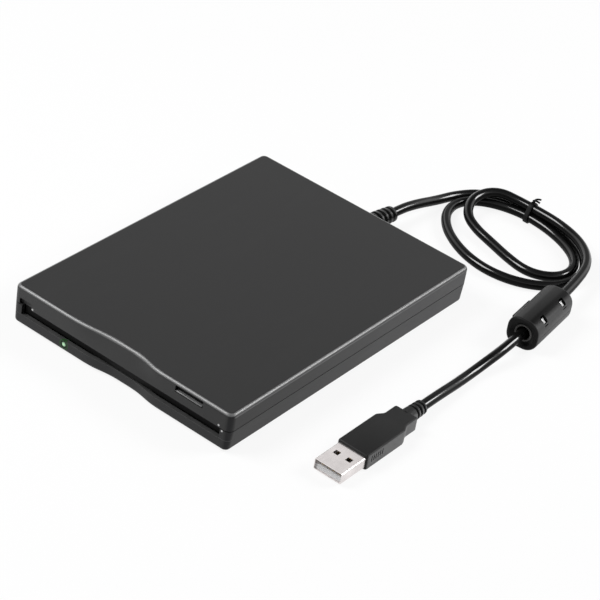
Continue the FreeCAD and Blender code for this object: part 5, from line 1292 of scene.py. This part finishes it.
@dataclass(frozen=True)
class TwistTie:
    """The tie that holds the loops: a flat band round the strands and two twisted ends."""

    x: float = 35.8
    behind: float = 130.0
    strand: float = 2.05
    strand_steps: int = 48
    width: float = 2.0
    thickness: float = 0.6
    end_radius: float = 0.4
    twist: float = 0.36
    twist_steps: int = 4
    twist_rise: float = 0.34
    tips: tuple[Point, Point] = ((2.7, 0.6, -0.1), (2.0, 1.7, 0.4))
    steps: int = 56
    edge: float = 0.12

    def strands(self) -> list[Span]:
        """Returns where the lead's line crosses the tie's plane, as y and z in metres."""
        line = bpy.data.objects["lead_jacket"].copy()
        line.data = line.data.copy()
        line.data.bevel_depth = 0.0
        bpy.context.scene.collection.objects.link(line)
        bpy.context.view_layer.update()
        mesh = bpy.data.meshes.new_from_object(line.evaluated_get(bpy.context.evaluated_depsgraph_get()))
        spots = [vertex.co.copy() for vertex in mesh.vertices]
        bpy.data.objects.remove(line)
        plane = self.x * MM
        found = []
        for first, second in zip(spots, spots[1:]):
            if (first.x - plane) * (second.x - plane) <= 0.0 and first.y > self.behind * MM:
                spot = first.lerp(second, (plane - first.x) / (second.x - first.x))
                found.append((spot.y, spot.z))
        return found

    def outline(self) -> list[Span]:
        """Returns the line of a band pulled tight round the strands, as y and z in metres."""
        count, radius = self.strand_steps, self.strand * MM
        rim = {
            (y + radius * math.cos(angle), z + radius * math.sin(angle))
            for y, z in self.strands()
            for angle in (math.tau * step / count for step in range(count))
        }
        hull: list[Span] = []
        for run in (sorted(rim), sorted(rim, reverse=True)):
            part: list[Span] = []
            for spot in run:
                while len(part) > 1 and self.turns_right(*part[-2:], spot):
                    part.pop()
                part.append(spot)
            hull += part[:-1]
        return self.even_steps(hull)

    @staticmethod
    def turns_right(first: Span, second: Span, third: Span) -> bool:
        """Returns whether three points turn to the right or run straight."""
        y, z = first
        return (second[0] - y) * (third[1] - z) - (second[1] - z) * (third[0] - y) <= 0.0

    def even_steps(self, hull: list[Span]) -> list[Span]:
        """Returns points at even steps along a closed line."""
        ring = [Vector(spot) for spot in (*hull, hull[0])]
        runs = [(first, second, (second - first).length) for first, second in zip(ring, ring[1:])]
        total = sum(run[2] for run in runs)
        spots = []
        for step in range(self.steps):
            left = total * step / self.steps
            for first, second, length in runs:
                if left <= length:
                    spots.append(tuple(first.lerp(second, left / length)))
                    break
                left -= length
        return spots

    def build(self) -> None:
        """Wraps the band, and twists its two ends together on top of it."""
        outline = self.outline()
        band = self.band(outline)
        top = max(outline, key=lambda spot: spot[1])
        knot = Vector((self.x * MM, top[0], top[1] + self.thickness * MM))
        for index, wire in enumerate(self.ends(knot)):
            Bench(f"tie_end_{index}").wire(wire, self.end_radius * MM).finish("case", TIE, angle=60.0)
        band.finish("case", TIE, ("lead_tie",), angle=40.0)

    def band(self, outline: list[Span]) -> Bench:
        """Returns the band: a ring laid on the outline, drawn to its width and thickened outwards."""
        band = Bench("twist_tie")
        band.take()
        bpy.ops.mesh.primitive_circle_add(vertices=self.steps, radius=1.0)
        band.placed()
        for vertex, (y, z) in zip(band.item.data.vertices, outline):
            vertex.co = ((self.x - self.width / 2.0) * MM, y, z)
        band.edit("EDGE", "SELECT")
        band.push(mm(self.width, 0.0, 0.0)).outwards()
        middle = Vector((0.0, *(sum(spot[part] for spot in outline) for part in (0, 1)))) / len(outline)
        face = band.item.data.polygons[0]
        way = Vector((0.0, face.center.y - middle.y, face.center.z - middle.z))
        if face.normal.dot(way) < 0.0:
            band.edit("FACE", "SELECT")
            bpy.ops.mesh.flip_normals()
            mode("OBJECT")
        band.modify("SOLIDIFY", thickness=self.thickness * MM, offset=1.0, use_even_offset=True)
        return band.soften(self.edge, 2, 50.0)

    def ends(self, knot: Vector) -> list[list[Vector]]:
        """Returns the points of the two ends: twisted round each other, then splayed."""
        lines = []
        for phase, tip in zip((0.0, math.pi), self.tips):
            line = [knot + mm(0.0, 0.0, -self.thickness)]
            for step in range(self.twist_steps):
                angle = phase + step * math.pi / 2.0
                side = mm(self.twist * math.cos(angle), self.twist * math.sin(angle), 0.0)
                line.append(knot + side + mm(0.0, 0.0, self.twist_rise * step))
            top = line[-1]
            line += [top + mm(*tip) * 0.45 + mm(0.0, 0.0, 0.5), top + mm(*tip)]
            lines.append(line)
        return lines


@dataclass(frozen=True)
class EjectButton:
    """The eject button: a body with a finger scoop over a polished lower lip, whose pale grey is a painted
    highlight.
    """

    left: float = 26.4
    right: float = 38.2
    bottom: float = 13.1
    top: float = 15.2
    front: float = -71.0
    back: float = -68.9
    lip: float = 0.42
    scoop: float = 1.15
    stem_width: float = 8.4
    stem_length: float = 2.4
    stem_height: float = 1.9
    stem_rise: float = 0.1
    overlap: float = 0.4
    edge: float = 0.15
    lip_edge: float = 0.16

    def build(self) -> None:
        """Models the body with its stem, and the lip in front of it."""
        face = self.front + self.scoop
        body = Bench("eject_button_body").block(
            mm(self.left, face, self.bottom), mm(self.right, self.back, self.top)
        )
        body.soften(self.edge, 3)
        middle = (self.left + self.right) / 2.0
        half = self.stem_width / 2.0
        foot = self.bottom + self.stem_rise
        stem = Bench("button_stem").block(
            mm(middle - half, self.back - self.overlap, foot),
            mm(middle + half, self.back + self.stem_length, foot + self.stem_height),
        )
        body.combine(stem, "UNION").finish("eject_slide", BUTTON, ("eject_button",))
        crest = self.bottom + self.lip
        lip = Bench("eject_button_lip").block(
            mm(self.left, self.front, self.bottom), mm(self.right, face + self.overlap / 2.0, crest)
        )
        lip.edges(lambda first, second: min(first.z, second.z) > (crest - 0.01) * MM)
        # The lip's pale grey is a painted highlight.
        lip.rounded(self.lip_edge, 4).finish("eject_slide", BUTTON_LIP_PAINTED_HIGHLIGHT)


@dataclass(frozen=True)
class AccessLamp:
    """The light pipe of the access lamp, with a rounded face."""

    x: float = -25.9
    z: float = 3.6
    front: float = -71.0
    back: float = -67.2
    radius: float = 1.1
    chamfer: float = 0.3
    face: tuple[Span, ...] = ((0.0, 0.55), (0.05, 0.85), (0.18, 1.02), (0.4, 1.1))

    def build(self) -> None:
        """Turns the light pipe."""
        rings = [(self.front + depth, radius) for depth, radius in self.face]
        rings += [(self.back - self.chamfer, self.radius), (self.back, self.radius - self.chamfer)]
        pipe = Bench("access_lamp_pipe").turned(mm(self.x, 0.0, self.z), rings, 40)
        pipe.finish("case", LENS, ("light_pipe",), angle=60.0)


def main() -> None:
    """Builds the studio and each sub-assembly in order."""
    logging.basicConfig(level=logging.INFO, format="%(name)s: %(message)s")
    lead = Lead()
    pieces = (Plug(), StrainRelief(), FerriteClamp(), TwistTie(), EjectButton(), AccessLamp())
    for part in (Studio(), lead, *pieces, *DRESSINGS):
        part.build()


if __name__ == "__main__":
    main()
